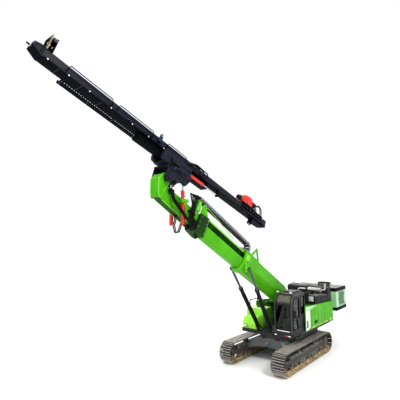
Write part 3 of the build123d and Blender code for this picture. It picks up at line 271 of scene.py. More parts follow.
def cloth_material():
    mat = bpy.data.materials.new("seat_cloth")
    mat.use_nodes = True
    nt = mat.node_tree
    b = nt.nodes["Principled BSDF"]
    tc = nt.nodes.new("ShaderNodeTexCoord").outputs["Object"]
    w = nt.nodes.new("ShaderNodeTexWave")
    w.inputs["Scale"].default_value = 150.0
    w.inputs["Distortion"].default_value = 1.5
    nt.links.new(tc, w.inputs["Vector"])
    col = mix(nt, w.outputs["Fac"], (0.018, 0.019, 0.022), (0.05, 0.052, 0.058))
    col = mix(nt, math(nt, "MULTIPLY", ramp(nt, noise(nt, tc, 6.0), 0.4, 0.7), 0.4), col, (0.07, 0.068, 0.065))
    nt.links.new(col, b.inputs["Base Color"])
    b.inputs["Roughness"].default_value = 0.9
    b.inputs["Sheen Weight"].default_value = 0.25
    bp = nt.nodes.new("ShaderNodeBump")
    bp.inputs["Strength"].default_value = 0.3
    bp.inputs["Distance"].default_value = 0.002
    nt.links.new(w.outputs["Fac"], bp.inputs["Height"])
    nt.links.new(bp.outputs[0], b.inputs["Normal"])
    return mat


def glass_material():
    mat = bpy.data.materials.new("tinted_glass")
    mat.use_nodes = True
    nt = mat.node_tree
    b = nt.nodes["Principled BSDF"]
    tc = nt.nodes.new("ShaderNodeTexCoord").outputs["Object"]
    smear = noise(nt, tc, 3.0, 5.0)
    nt.links.new(mix(nt, ramp(nt, smear, 0.35, 0.7), (0.15, 0.20, 0.18), (0.26, 0.33, 0.29)), b.inputs["Base Color"])
    nt.links.new(math(nt, "MULTIPLY", ramp(nt, smear, 0.4, 0.8), 0.10), b.inputs["Roughness"])
    b.inputs["Transmission Weight"].default_value = 1.0
    b.inputs["IOR"].default_value = 1.45
    return mat


def lens_material(name, col, emit=0.0):
    mat = bpy.data.materials.new(name)
    mat.use_nodes = True
    nt = mat.node_tree
    b = nt.nodes["Principled BSDF"]
    tc = nt.nodes.new("ShaderNodeTexCoord").outputs["Object"]
    v = nt.nodes.new("ShaderNodeTexVoronoi")
    v.inputs["Scale"].default_value = 60.0
    nt.links.new(tc, v.inputs["Vector"])
    nt.links.new(mix(nt, v.outputs["Distance"], tuple(c * 0.75 for c in col), col), b.inputs["Base Color"])
    b.inputs["Roughness"].default_value = 0.15
    b.inputs["Coat Weight"].default_value = 0.6
    bp = nt.nodes.new("ShaderNodeBump")
    bp.inputs["Strength"].default_value = 0.4
    bp.inputs["Distance"].default_value = 0.003
    nt.links.new(v.outputs["Distance"], bp.inputs["Height"])
    nt.links.new(bp.outputs[0], b.inputs["Normal"])
    return mat


CLOTH, GLASS = cloth_material(), glass_material()
LENS, REDLENS, AMBER = lens_material("lamp_lens", (0.86, 0.87, 0.88)), lens_material("red_reflector", (0.62, 0.02, 0.02)), \
    lens_material("amber_reflector", (0.85, 0.45, 0.03))
FLOOR = surface("pale_floor", (0.86, 0.86, 0.85), 0.7, vary=0.02, grime_amt=0.0, dust=0.0, bump=0.02, grain=30.0)


# ------------------------------------------------------------------ small mesh builders
def mark_sharp(bm, deg=34.0):
    lim = radians(deg)
    for e in bm.edges:
        e.smooth = len(e.link_faces) == 2 and e.calc_face_angle(0.0) < lim
    for f in bm.faces:
        f.smooth = True


class Build:
    """One piece made of many small solids: one mesh with several materials."""

    def __init__(self, name, body, *mats):
        self.bm, self.name, self.body, self.mats = bmesh.new(), name, body, mats

    def mesh(self, verts, faces, m=0):
        vs = [self.bm.verts.new(v) for v in verts]
        for f in faces:
            face = self.bm.faces.new([vs[i] for i in f])
            face.material_index = m

    def box(self, f, a0, a1, b0, b1, y0, y1, m=0):
        v = [f(a, b, y) for y in (y0, y1) for b in (b0, b1) for a in (a0, a1)]
        self.mesh(v, [(0, 1, 3, 2), (4, 6, 7, 5), (0, 4, 5, 1), (2, 3, 7, 6), (0, 2, 6, 4), (1, 5, 7, 3)], m)

    def prism(self, f, pts, y0, y1, m=0):
        n = len(pts)
        v = [f(a, b, y0) for a, b in pts] + [f(a, b, y1) for a, b in pts]
        faces = [tuple(range(n)), tuple(range(2 * n - 1, n - 1, -1))]
        faces += [(i, n + i, n + (i + 1) % n, (i + 1) % n) for i in range(n)]
        self.mesh(v, faces, m)

    def cyl(self, p, q, r, n=18, m=0, r2=None, chamfer=0.0):
        p, q = Vector(p), Vector(q)
        d = (q - p).normalized()
        a = d.orthogonal().normalized()
        b = d.cross(a)
        r2 = r if r2 is None else r2
        rings = [(p, r), (q, r2)]
        if chamfer:
            rings = [(p, r - chamfer), (p + d * chamfer, r), (q - d * chamfer, r2), (q, r2 - chamfer)]
        v = [c + (a * cos(2 * pi * i / n) + b * sin(2 * pi * i / n)) * rr for c, rr in rings for i in range(n)]
        k = len(rings)
        faces = [tuple(range(n - 1, -1, -1)), tuple(range((k - 1) * n, k * n))]
        for j in range(k - 1):
            faces += [(j * n + i, j * n + (i + 1) % n, (j + 1) * n + (i + 1) % n, (j + 1) * n + i) for i in range(n)]
        self.mesh(v, faces, m)

    def ring(self, c, axis, r0, r1, h, n=28, m=0):
        """Flat ring with a hole: inner radius r0, outer r1, height h along axis from c."""
        d = Vector(axis).normalized()
        a = d.orthogonal().normalized()
        b = d.cross(a)
        v = []
        for z, r in ((0, r0), (0, r1), (h, r1), (h, r0)):
            v += [Vector(c) + d * z + (a * cos(2 * pi * i / n) + b * sin(2 * pi * i / n)) * r for i in range(n)]
        faces = []
        for j in range(4):
            k = (j + 1) % 4
            faces += [(j * n + i, j * n + (i + 1) % n, k * n + (i + 1) % n, k * n + i) for i in range(n)]
        self.mesh(v, faces, m)

    def bolt(self, p, axis, r=0.018, h=0.014, m=0):
        d = Vector(axis).normalized()
        self.cyl(Vector(p) - d * 0.002, Vector(p) + d * 0.004, r * 1.45, 12, m)
        self.cyl(Vector(p) + d * 0.003, Vector(p) + d * h, r, 6, m, chamfer=min(0.003, h * 0.25))

    def bolt_circle(self, c, axis, radius, count, r=0.016, h=0.014, m=0, start=0.0):
        d = Vector(axis).normalized()
        a = d.orthogonal().normalized()
        b = d.cross(a)
        for i in range(count):
            t = start + 2 * pi * i / count
            self.bolt(Vector(c) + (a * cos(t) + b * sin(t)) * radius, d, r, h, m)

    def tube(self, pts, r, n=10, m=0, closed=False):
        """Round bar through points, with mitred corners."""
        pts = [Vector(p) for p in pts]
        k = len(pts)
        tang = []
        for i in range(k):
            a = pts[i - 1] if (i > 0 or closed) else pts[i]
            c = pts[(i + 1) % k] if (i < k - 1 or closed) else pts[i]
            tang.append((c - a).normalized())
        nrm = tang[0].orthogonal().normalized()
        rings = []
        for i in range(k):
            nrm = (nrm - tang[i] * nrm.dot(tang[i])).normalized()
            bi = tang[i].cross(nrm)
            rings.append([pts[i] + (nrm * cos(2 * pi * j / n) + bi * sin(2 * pi * j / n)) * r for j in range(n)])
        v = [p for ring in rings for p in ring]
        faces = []
        for i in range(k if closed else k - 1):
            i2 = (i + 1) % k
            faces += [(i * n + j, i * n + (j + 1) % n, i2 * n + (j + 1) % n, i2 * n + j) for j in range(n)]
        if not closed:
            faces += [tuple(range(n - 1, -1, -1)), tuple(range((k - 1) * n, k * n))]
        self.mesh(v, faces, m)

    def done(self, slot=None, bevel=0.0, replaces=(), angle=34.0):
        bmesh.ops.recalc_face_normals(self.bm, faces=self.bm.faces)
        if bevel:
            edges = [e for e in self.bm.edges if len(e.link_faces) == 2 and e.calc_face_angle(0.0) > radians(50)]
            bmesh.ops.bevel(self.bm, geom=edges, offset=bevel, segments=2, profile=0.6, affect="EDGES", clamp_overlap=True, material=-1)
        mark_sharp(self.bm, angle)
        me = bpy.data.meshes.new(self.name)
        self.bm.to_mesh(me)
        self.bm.free()
        for mt in self.mats:
            me.materials.append(mt)
        ob = bpy.data.objects.new(self.name, me)
        bpy.context.scene.collection.objects.link(ob)
        if self.body:
            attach(ob, self.body)
        if replaces:
            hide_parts(*replaces)
        return ob


def finish_node(node, mats, bevel=0.008, rule=None, deg=32.0, segments=2):
    """Shows a CAD node as a bevelled copy in finished materials; rule(centre, normal) picks the material of a face."""
    bm = bmesh.new()
    bm.from_mesh(NODES[node].data)
    bmesh.ops.remove_doubles(bm, verts=bm.verts, dist=1e-5)
    bmesh.ops.dissolve_limit(bm, angle_limit=radians(0.6), verts=bm.verts, edges=bm.edges)
    bmesh.ops.recalc_face_normals(bm, faces=bm.faces)
    if rule:
        for f in bm.faces:
            f.material_index = rule(f.calc_center_median(), f.normal)
    if bevel:
        edges = [e for e in bm.edges if len(e.link_faces) == 2 and e.calc_face_angle(0.0) > radians(deg)]
        bmesh.ops.bevel(bm, geom=edges, offset=bevel, segments=segments, profile=0.6, affect="EDGES", clamp_overlap=True, material=-1)
    mark_sharp(bm, 28.0)
    me = bpy.data.meshes.new(node + "_finish")
    bm.to_mesh(me)
    bm.free()
    for mt in mats:
        me.materials.append(mt)
    ob = bpy.data.objects.new(node + "_finish", me)
    bpy.context.scene.collection.objects.link(ob)
    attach(ob, NODE_BODY[node])
    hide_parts(node)
    return ob


def in_boom(p):
    d = p - FOOT
    return d.dot(bu), d.dot(bn), d.y


def in_mast(p):
    d = p - PIVOT
    return d.dot(mu), d.dot(mn), d.y


# ------------------------------------------------------------------ floor
me = bpy.data.meshes.new("floor")
bm = bmesh.new()
bmesh.ops.create_grid(bm, x_segments=24, y_segments=24, size=120.0)
bm.to_mesh(me)
bm.free()
me.materials.append(FLOOR)
floor = bpy.data.objects.new("floor", me)
bpy.context.scene.collection.objects.link(floor)

# ------------------------------------------------------------------ tracked base
END_X, AXLE_Z, R_PITCH, SHOES = 2.13, 0.47, 0.40, 58
LOOP = 4 * END_X + 2 * pi * R_PITCH


def on_loop(t):
    """Point on the pitch line, with tangent and outward normal, as x-z pairs."""
    t %= LOOP
    if t < 2 * END_X:
        return (END_X - t, AXLE_Z - R_PITCH), (-1, 0), (0, -1)
    t -= 2 * END_X
    if t < pi * R_PITCH:
        a = t / R_PITCH
        return (-END_X - R_PITCH * sin(a), AXLE_Z - R_PITCH * cos(a)), (-cos(a), sin(a)), (-sin(a), -cos(a))
    t -= pi * R_PITCH
    if t < 2 * END_X:
        return (-END_X + t, AXLE_Z + R_PITCH), (1, 0), (0, 1)
    t -= 2 * END_X
    a = t / R_PITCH
    return (END_X + R_PITCH * sin(a), AXLE_Z + R_PITCH * cos(a)), (cos(a), -sin(a)), (sin(a), cos(a))


for side, sgn in (("left", 1), ("right", -1)):
    yc = sgn * 1.295
    piece = Build(f"{side}_track_shoes", "undercarriage", SHOE, WORN, ROLLER, BLACK)
    for i in range(SHOES):
        (px, pz), (tx, tz), (nx, nz) = on_loop((i + 0.5) * LOOP / SHOES)

        def L(a, b, y, px=px, pz=pz, tx=tx, tz=tz, nx=nx, nz=nz):
            return Vector((px + tx * a + nx * b, yc + y, pz + tz * a + nz * b))

        piece.prism(L, [(-0.094, 0.020), (0.086, 0.020), (0.092, 0.030), (0.086, 0.038), (-0.094, 0.038)], -0.30, 0.30)
        for a in (-0.050, 0.042):
            piece.prism(L, [(a - 0.020, 0.037), (a + 0.020, 0.037), (a + 0.012, 0.064), (a - 0.012, 0.064)], -0.292, 0.292, 1)
        for y in (-0.03, 0.03):
            piece.box(L, -0.024, 0.016, 0.036, 0.0395, y - 0.020, y + 0.020, 3)
        for y in (-0.085, 0.085):
            piece.prism(L, [(-0.102, -0.052), (0.090, -0.052), (0.102, -0.01), (0.090, 0.021), (-0.102, 0.021)],
                        y - 0.02, y + 0.02, 2)
            piece.cyl(L(-0.095, -0.015, y - 0.034 * (1 if y > 0 else -1)), L(-0.095, -0.015, y + 0.034 * (1 if y > 0 else -1)),
                      0.026, 10, 2)
            for a in (-0.038, 0.032):
                piece.bolt(L(a, 0.038, y), Vector((nx, 0, nz)), 0.011, 0.012, 2)
    piece.done("track_steel", replaces=(f"{side}_track",))

finish_node("track_frames", [SIDEFRAME], 0.012)
# upward faces of the centre frame and its legs take the pale copy: painted light
finish_node("centre_frame", [FRAME_TOP_LIT, CENTRE], 0.010, rule=lambda c, n: 0 if n.z > 0.25 and c.z < 0.99 else 1)
finish_node("frame_legs", [FRAME_TOP_LIT, CENTRE], 0.012, rule=lambda c, n: 0 if n.z > 0.25 else 1)
finish_node("idlers_and_rollers", [ROLLER], 0.006)
finish_node("drive_sprockets", [ROLLER], 0.006)

base = Build("base_trim", "undercarriage", SIDEFRAME, CABEDGE, ROLLER, STEEL)
for sgn in (1, -1):
    yc = sgn * 1.295
    out = yc + sgn * 0.17
    o2 = out + sgn * 0.016
    # outer ribs, roller guards, tension cover, motor cover
    base.box(W, -1.70, 1.70, 0.500, 0.530, *sorted((out, out + sgn * 0.014)), 0)
    base.box(W, -1.62, 1.66, 0.350, 0.368, *sorted((out, o2)), 1)
    for x in (-0.9, 0.35):
        base.box(W, x, x + 0.55, 0.215, 0.352, *sorted((out - sgn * 0.012, out + sgn * 0.004)), 0)
        for dx in (0.06, 0.49):
            base.bolt((x + dx, out + sgn * 0.004, 0.32), (0, sgn, 0), 0.016, 0.014, 3)
    base.box(W, 1.05, 1.35, 0.40, 0.49, *sorted((out, out + sgn * 0.02)), 0)
    for dx in (1.08, 1.32):
        for dz in (0.42, 0.47):
            base.bolt((dx, out + sgn * 0.02, dz), (0, sgn, 0), 0.010, 0.010, 3)
    # sprocket teeth, drum bolts, idler rings
    for i in range(22):
        a = 2 * pi * (i + 0.5) / 22
        d, t = Vector((cos(a), 0, sin(a))), Vector((-sin(a), 0, cos(a)))
        c = Vector((-END_X, yc, AXLE_Z))
        v = [c + d * rr + t * w + YV * y for y in (-0.028, 0.028) for rr, w in ((0.325, -0.03), (0.325, 0.03), (0.366, 0.012),
                                                                             (0.366, -0.012))]
        base.mesh(v, [(0, 1, 2, 3), (7, 6, 5, 4), (0, 4, 5, 1), (1, 5, 6, 2), (2, 6, 7, 3), (3, 7, 4, 0)], 2)
    base.bolt_circle((-END_X, yc + sgn * 0.15, AXLE_Z), (0, sgn, 0), 0.185, 14, 0.014, 0.016, 3)
    base.cyl((-END_X, yc + sgn * 0.149, AXLE_Z), (-END_X, yc + sgn * 0.185, AXLE_Z), 0.12, 28, 2, chamfer=0.012)
    base.bolt_circle((END_X, yc + sgn * 0.118, AXLE_Z), (0, sgn, 0), 0.06, 8, 0.010, 0.010, 3)
    base.ring((END_X, yc + sgn * 0.055, AXLE_Z), (0, sgn, 0), 0.255, 0.300, 0.012, 40, 2)
    # step plate on the inner shoulder of the side frame
    yin = yc - sgn * 0.19
    base.box(W, -0.55, 0.95, 0.585, 0.600, *sorted((yin - sgn * 0.02, yin + sgn * 0.06)), 1)
# slewing ring bolts and cover plates of the centre frame
base.bolt_circle((0, 0, 1.090), (0, 0, 1), 0.622, 36, 0.013, 0.020, 3)
for x, y in ((0.78, 0.36), (0.78, -0.36), (-0.78, 0.36), (-0.78, -0.36)):
    base.cyl((x, y, 0.955), (x, y, 0.972), 0.11, 28, 0, chamfer=0.006)
    base.bolt_circle((x, y, 0.972), (0, 0, 1), 0.085, 8, 0.008, 0.009, 3)
base.done("frame_grey", bevel=0.0)

# ------------------------------------------------------------------ deck and engine bay
finish_node("deck_frame", [CAB, BLACK], 0.010, rule=lambda c, n: 1 if c.z > 1.37 else 0)
finish_node("bay_frame", [LIME, BLACK, WHITE], 0.010,
            rule=lambda c, n: 1 if abs(c.y) < 1.2 and (c.z < 2.2 or n.z > 0.5) else 2 if c.x > -0.33 and c.y > 1.395 and c.z < 2.21 else 0)
finish_node("engine_block", [IRON], 0.02)
finish_node("tail_weight", [LIME, TAIL], 0.02, rule=lambda c, n: 1 if n.z < -0.3 else 0)
# upward faces of the cowl take the paler top copy: dust and painted highlight
finish_node("engine_cowl", [COWL, COWL_TOP_DUST_SHEEN], 0.09, segments=5, rule=lambda c, n: 1 if n.z > 0.6 else 0)
finish_node("muffler", [SILVER], 0.006)
finish_node("air_cleaner_box", [ROOFBLACK], 0.012)
finish_node("power_pack", [IRON], 0.02)
finish_node("rear_cabinet", [PALE, LOUVRE], 0.012)
finish_node("cabinet_frame", [ROOFBLACK, ROOFTOP], 0.010, rule=lambda c, n: 1 if n.z > 0.9 and c.z > 2.8 else 0)
finish_node("cabinet_door", [LOUVRE], 0.004)
finish_node("tank_and_toolbox", [TANK_LIME], 0.018)
finish_node("handrails", [BLACK], 0.0)
for node in ("left_front_door", "left_rear_door", "right_front_door", "right_rear_door"):
    finish_node(node, [LIME, BLACK, WHITE], 0.008, rule=lambda c, n: 2 if c.x > -0.325 and c.y > 1.38 and c.z < 2.21 else 0)

# front skirt: red and white reflective blocks, step under the cab
deck = Build("deck_trim", "upper", REDLENS, WHITE, BLACK, STEEL, CAB)
for y0 in (0.30, 0.97):
    deck.box(W, 1.149, 1.156, 1.296, 1.356, y0, y0 + 0.12, 0)
    deck.box(W, 1.149, 1.156, 1.300, 1.352, y0 + 0.125, y0 + 0.25, 1)
deck.box(W, 0.30, 1.05, 1.205, 1.235, 1.298, 1.44, 2)
for x in (0.34, 1.01):
    deck.box(W, x - 0.02, x + 0.02, 1.205, 1.355, 1.295, 1.31, 2)
for i in range(12):
    deck.box(W, 0.33 + i * 0.058, 0.36 + i * 0.058, 1.234, 1.240, 1.31, 1.43, 3)
# pins of the boom foot and of the lift cylinders
for sgn in (1, -1):
    deck.cyl((-1.0, sgn * 0.388, 2.39), (-1.0, sgn * 0.43, 2.39), 0.115, 28, 3, chamfer=0.010)
    deck.bolt_circle((-1.0, sgn * 0.43, 2.39), (0, sgn, 0), 0.075, 6, 0.013, 0.014, 2)
    for off in (-0.092, 0.092):
        s2 = 1 if off > 0 else -1
        y = sgn * 0.30 + off
        deck.cyl((1.2, y - s2 * 0.004, 1.45), (1.2, y + s2 * 0.024, 1.45), 0.055, 20, 3, chamfer=0.006)
        deck.bolt((1.2, y + s2 * 0.024, 1.45), (0, s2, 0), 0.016, 0.014, 2)
    # stiffening ribs between the boom-foot plate and the deck
    for x in (-1.35, -0.62):
        deck.prism(lambda a, b, y, x=x: W(x + y, b, a), [(sgn * 0.388, 1.36), (sgn * 0.54, 1.36), (sgn * 0.388, 1.95)],
                   -0.015, 0.015, 4)
# black plates with bolts under the deck, over the tracks: painted shade that fills the shaded gap under the deck
for sgn in (1, -1):
    deck.prism(W, [(-1.66, 1.04), (0.34, 1.04), (0.42, 1.12), (0.42, 1.30), (-1.66, 1.352)], *sorted((sgn * 1.06, sgn * 1.262)), 2)
    for x in (-1.45, -0.85, -0.25, 0.28):
        deck.bolt((x, sgn * 1.262, 1.10), (0, sgn, 0), 0.014, 0.012, 4)
deck.done("deck_black", bevel=0.003)

side = Build("bodywork_trim", "upper", WHITE, BLACK, LIME_LIT, REDLENS, STEEL, COWL, SILVER, LENS, AMBER, CAB, PALE, TRIM)
# pale front pillar with its dark slot; the pale strip above the pillar is painted reflection, the light along the
# body's shoulder
side.prism(W, [(-0.290, 1.350), (-0.058, 1.350), (-0.058, 2.235), (-0.290, 2.220)], 1.3995, 1.4045, 0)
side.prism(W, [(-0.290, 2.222), (-0.058, 2.237), (-0.058, 2.432), (-0.290, 2.420)], 1.3995, 1.4040, 10)
side.box(W, -0.270, -0.150, 1.470, 1.790, 1.400, 1.4065, 1)
side.box(W, -0.262, -0.158, 1.478, 1.782, 1.400, 1.4075, 11)
for z in (1.46, 1.80, 2.36):
    side.bolt((-0.18, 1.4045, z), (0, 1, 0), 0.012, 0.010, 4)
# pale plate on the front end of the cowl's left arm, seam bands along the arm and the rear hump
side.box(W, -1.452, -1.444, 2.46, 2.70, 0.96, 1.20, 0)
for x in (-1.62, -2.20, -2.95):
    top, low = 2.79 + 0.0824 * (x + 1.45), 2.368 + 0.045 * (x + 1.45)
    pts = [(0.867, low), (0.867, top - 0.12), (0.905, top - 0.035), (0.99, top + 0.003), (1.17, top + 0.003), (1.255, top - 0.035),
           (1.293, top - 0.12), (1.293, low)]
    side.tube([Vector((x, y, z)) for y, z in pts], 0.010, 8, 5)
for y in (-0.55, 0.10):
    side.tube([(-3.077, y, 2.36), (-3.077, y, 2.88), (-3.122, y, 2.987), (-3.23, y, 3.033), (-3.60, y, 3.033), (-3.708, y, 2.987),
               (-3.753, y, 2.88), (-3.753, y, 2.36)], 0.010, 8, 5)
side.cyl((-3.36, -0.78, 3.02), (-3.36, -0.78, 3.11), 0.045, 20, 6, chamfer=0.01)
side.cyl((-3.36, -0.78, 3.10), (-3.36, -0.78, 3.15), 0.075, 20, 6, r2=0.060, chamfer=0.01)
# clamps and flanges on the silencer, slats of the dark box
MUF_X, MUF_Z = -2.62, 2.88
for y in (0.46, 0.62, 0.92, 1.08):
    side.ring((MUF_X, y, MUF_Z), (0, 1, 0), 0.106, 0.122, 0.030, 32, 6)
for y in (0.02, 0.405):
    side.ring((MUF_X, y, MUF_Z), (0, 1, 0), 0.046, 0.066, 0.022, 24, 6)
side.ring((MUF_X, -0.13, 2.32), (0, 0, 1), 0.046, 0.085, 0.020, 24, 6)
side.ring((MUF_X, 0.322, MUF_Z), (0, 1, 0), 0.080, 0.100, 0.050, 28, 1)
side.ring((MUF_X, 1.345, 3.195), (0, 0, 1), 0.042, 0.052, 0.03, 24, 6)
for i in range(5):
    z = 3.055 + i * 0.026
    side.box(W, -3.295, -3.280, z, z + 0.012, 0.74, 1.23, 4)
    side.box(W, -3.60, -3.33, z, z + 0.012, 1.276, 1.290, 4)
side.cyl((-1.28, 0.92, 2.36), (-1.28, 0.92, 2.74), 0.075, 24, 1)
side.cyl((-1.28, 0.92, 2.73), (-1.28, 0.92, 2.86), 0.125, 28, 1, r2=0.135, chamfer=0.010)
side.cyl((-1.28, 0.92, 2.86), (-1.28, 0.92, 2.92), 0.095, 28, 1, chamfer=0.020)
# tail weight: reflectors and tail lamps
for y0 in (-1.0, 0.82):
    side.box(W, -3.957, -3.946, 1.42, 1.52, y0, y0 + 0.18, 3)
    side.box(W, -3.957, -3.946, 1.55, 1.60, y0, y0 + 0.18, 8)
# filler cap, lids, latches, front lamps and steps of the tank and tool box
side.cyl((0.10, -0.95, 2.195), (0.10, -0.95, 2.25), 0.085, 28, 1, chamfer=0.008)
side.cyl((0.10, -0.95, 2.249), (0.10, -0.95, 2.275), 0.05, 8, 1, chamfer=0.006)
side.box(W, 0.30, 0.46, 2.198, 2.206, -1.15, -0.75, 4)
side.box(W, -0.18, 0.52, 1.44, 2.08, -1.356, -1.349, 2)
side.box(W, 0.68, 1.05, 1.44, 1.84, -1.231, -1.224, 2)
for x, z, y in ((-0.10, 1.80, -1.354), (0.48, 1.80, -1.354), (0.74, 1.66, -1.229), (0.99, 1.66, -1.229)):
    side.box(W, x - 0.03, x + 0.03, z, z + 0.10, y - 0.016, y, 1)
side.cyl((1.150, -1.07, 1.50), (1.196, -1.07, 1.51), 0.075, 26, 1, chamfer=0.008)
side.cyl((1.190, -1.07, 1.51), (1.200, -1.07, 1.513), 0.060, 26, 7)
side.box(W, 1.140, 1.172, 1.52, 1.58, -0.76, -0.66, 8)
side.box(W, 1.140, 1.172, 1.52, 1.58, -1.215, -1.17, 3)
for i in range(3):
    z = 1.50 + 0.28 * i
    side.tube([(0.15, -1.350, z), (0.15, -1.405, z), (0.45, -1.405, z), (0.45, -1.350, z)], 0.012, 10, 1)
# seams on the bay's top deck, intake mesh strips
for y in (-1.05, 1.05):
    for i in range(14):
        x = -1.46 + i * 0.085
        side.box(W, x, x + 0.045, 2.352 + (x + 1.46) * 0.047, 2.362 + (x + 1.46) * 0.047, y + (0.21 if y > 0 else -0.27),
                 y + (0.27 if y > 0 else -0.21), 1)
side.done("deck_black", bevel=0.002)

# rear cabinet: corner posts, panel seams, lamps
cab2 = Build("cabinet_trim", "upper", PALE, BLACK, LOUVRE, STEEL, AMBER)
for x in (-5.480, -3.980):
    for y in (-1.20, 1.40):
        sx, sy = (1 if x > -4.5 else -1), (1 if y > 0 else -1)
        cab2.box(W, min(x, x + sx * 0.012), max(x, x + sx * 0.012), 1.825, 2.665, min(y, y - sy * 0.07), max(y, y - sy * 0.07), 0)
        cab2.box(W, min(x, x - sx * 0.07), max(x, x - sx * 0.07), 1.825, 2.665, min(y, y + sy * 0.012), max(y, y + sy * 0.012), 0)
for i in range(8):
    z = 1.92 + i * 0.09
    cab2.box(W, -5.18, -4.28, z, z + 0.035, -1.212, -1.198, 2)
for i in range(9):
    z = 1.91 + i * 0.083
    cab2.box(W, -5.494, -5.478, z, z + 0.035, -0.85, 0.95, 2)
for y in (-0.95, 1.10):
    cab2.box(W, -5.510, -5.498, 1.672, 1.722, y, y + 0.10, 4)
for x in (-5.40, -4.75, -4.10):
    cab2.bolt((x, 1.42, 1.70), (0, 1, 0), 0.014, 0.012, 3)
cab2.done("pale_green", bevel=0.002)

# louvre blades and latch on the cabinet door
lou = Build("cabinet_door_louvres", "cabinet_door", LOUVRE, BLACK, STEEL)
x0, x1, z0, z1 = -5.191, -4.369, 1.889, 2.601
for i in range(9):
    z = z0 + 0.09 + i * (z1 - z0 - 0.18) / 8
    lou.prism(lambda a, b, y: W(y, b, a), [(1.358, z + 0.012), (1.364, z + 0.016), (1.412, z - 0.010), (1.406, z - 0.016)],
              x0 + 0.082, x1 - 0.082, 0)
lou.box(W, x1 - 0.055, x1 - 0.030, 2.16, 2.28, 1.399, 1.425, 1)
lou.done("louvre_grey", bevel=0.002)

# latches and the reflective dots along the lower edge of the side doors
for name, sgn, xa, xb, hinge in (("left_front_door", 1, -1.82, -0.306, -0.306), ("left_rear_door", 1, -3.345, -1.83, -3.345),
                                 ("right_front_door", -1, -1.82, -0.306, -0.306), ("right_rear_door", -1, -3.345, -1.83, -3.345)):
    d = Build(name + "_trim", name, BLACK, YELLOW, REDLENS, LIME_LIT, WHITE, PALE)
    y = sgn * 1.40

    def lay(t0, t1):
        return sorted((y + sgn * t0, y + sgn * t1))

    n = 7
    for i in range(n):
        x = xa + 0.10 + (xb - xa - 0.20) * i / (n - 1)
        d.box(W, x - 0.045, x + 0.045, 1.372, 1.422, *lay(-0.001, 0.004), (1, 4, 2)[i % 3])
    # oval hand hole near the free edge
    if name.endswith("front_door"):
        cx, cz = -1.17, 1.59
        ring = [(cx + 0.185 * cos(2 * pi * i / 24), cz + 0.070 * sin(2 * pi * i / 24)) for i in range(24)]
        d.prism(W, ring, *lay(-0.001, 0.005), 0)
        d.tube([W(a, b, y + sgn * 0.005) for a, b in ring], 0.007, 8, 0, closed=True)
    else:
        d.box(W, -1.98, -1.90, 1.58, 1.62, *lay(-0.001, 0.014), 3)
    if name == "left_front_door":
        d.prism(W, [(-0.53, 1.425), (-0.322, 1.425), (-0.322, 2.215), (-0.53, 2.205)], *lay(-0.001, 0.003), 4)
        # pale band along the top of the front door, narrowing to the rear: painted reflection of the light along the
        # body's shoulder
        d.prism(W, [(-1.35, 2.345), (-0.53, 2.235), (-0.322, 2.218), (-0.322, 2.408), (-1.35, 2.358)], *lay(-0.001, 0.0025), 5)
    # raised bottom hem
    # the hem takes the lit lime copy: painted highlight
    for za, zb in ((1.345, 1.358), ):
        d.box(W, xa + 0.004, xb - 0.004, za, zb, *lay(-0.001, 0.006), 3)
    d.done("lime", bevel=0.0015)

# ------------------------------------------------------------------ cab
for node in ("cab_floor", "cab_left_wall", "cab_right_wall", "cab_front_frame", "cab_rear_wall", "cab_roof", "cab_door"):
    finish_node(node, [CAB], 0.012)
finish_node("door_glass", [GLASS], 0.0)
finish_node("cab_glass", [GLASS, UPPER_PANE], 0.0, rule=lambda c, n: 1 if c.z > 2.72 and c.x > 0.95 else 0)

cabt = Build("cab_trim", "upper", CABTUBE, BLACK, LENS, WHITE, TRIM, STEEL, CAB, RUBBER)
FRONT_EDGE = [(1.158, 1.44), (1.146, 2.66), (1.105, 2.765), (0.965, 2.955), (0.885, 3.012), (0.75, 3.022), (-0.14, 3.060)]
for y in (0.475, 1.275):
    cabt.tube([W(a, b, y) for a, b in FRONT_EDGE], 0.024, 12, 0)
cabt.tube([(0.885, 0.475, 3.012), (0.895, 0.56, 3.098), (0.895, 1.19, 3.098), (0.885, 1.275, 3.012)], 0.020, 12, 0)
cabt.tube([(1.150, 0.475, 2.69), (1.150, 1.275, 2.69)], 0.015, 10, 1)
# window gaskets: fixed panes
for pts, y in (([(-0.15, 2.15), (0.23, 2.15), (0.23, 2.93), (-0.15, 2.93)], 1.301),
               ([(-0.15, 2.05), (1.02, 2.05), (1.02, 2.66), (0.86, 2.93), (-0.15, 2.93)], 0.449)):
    cabt.tube([W(a, b, y) for a, b in pts], 0.011, 8, 7, closed=True)
cabt.tube([(1.140, 0.535, 1.562), (1.140, 1.215, 1.562), (1.128, 1.215, 2.60), (1.128, 0.535, 2.60)], 0.012, 8, 7, closed=True)
cabt.tube([(-0.221, 0.60, 2.25), (-0.221, 1.15, 2.25), (-0.221, 1.15, 2.90), (-0.221, 0.60, 2.90)], 0.011, 8, 7, closed=True)
# pale strip under the windscreen, wiper, lamps, visor, grab rail, mirrors, roof hatch
cabt.box(W, 1.147, 1.156, 1.500, 1.540, 0.56, 1.19, 3)
cabt.tube([(1.150, 0.72, 1.60), (1.146, 0.80, 1.95), (1.140, 0.98, 2.35)], 0.009, 8, 1)
cabt.box(lambda a, b, y: Vector((1.142, 0.98 + y + (a - 2.0) * 0.03, a)), 2.05, 2.56, 0.0, 0.012, -0.012, 0.012, 1)
cabt.cyl((1.143, 0.72, 1.60), (1.168, 0.72, 1.60), 0.022, 16, 1)
for y in (0.56, 1.19):
    cabt.box(W, 0.86, 0.95, 3.135, 3.215, y - 0.075, y + 0.075, 1)
    cabt.box(W, 0.948, 0.962, 3.143, 3.207, y - 0.066, y + 0.066, 2)
    cabt.box(W, 0.87, 0.90, 3.05, 3.14, y - 0.02, y + 0.02, 1)
cabt.prism(W, [(1.140, 2.700), (1.230, 2.690), (1.236, 2.705), (1.125, 2.745)], 0.52, 1.23, 6)
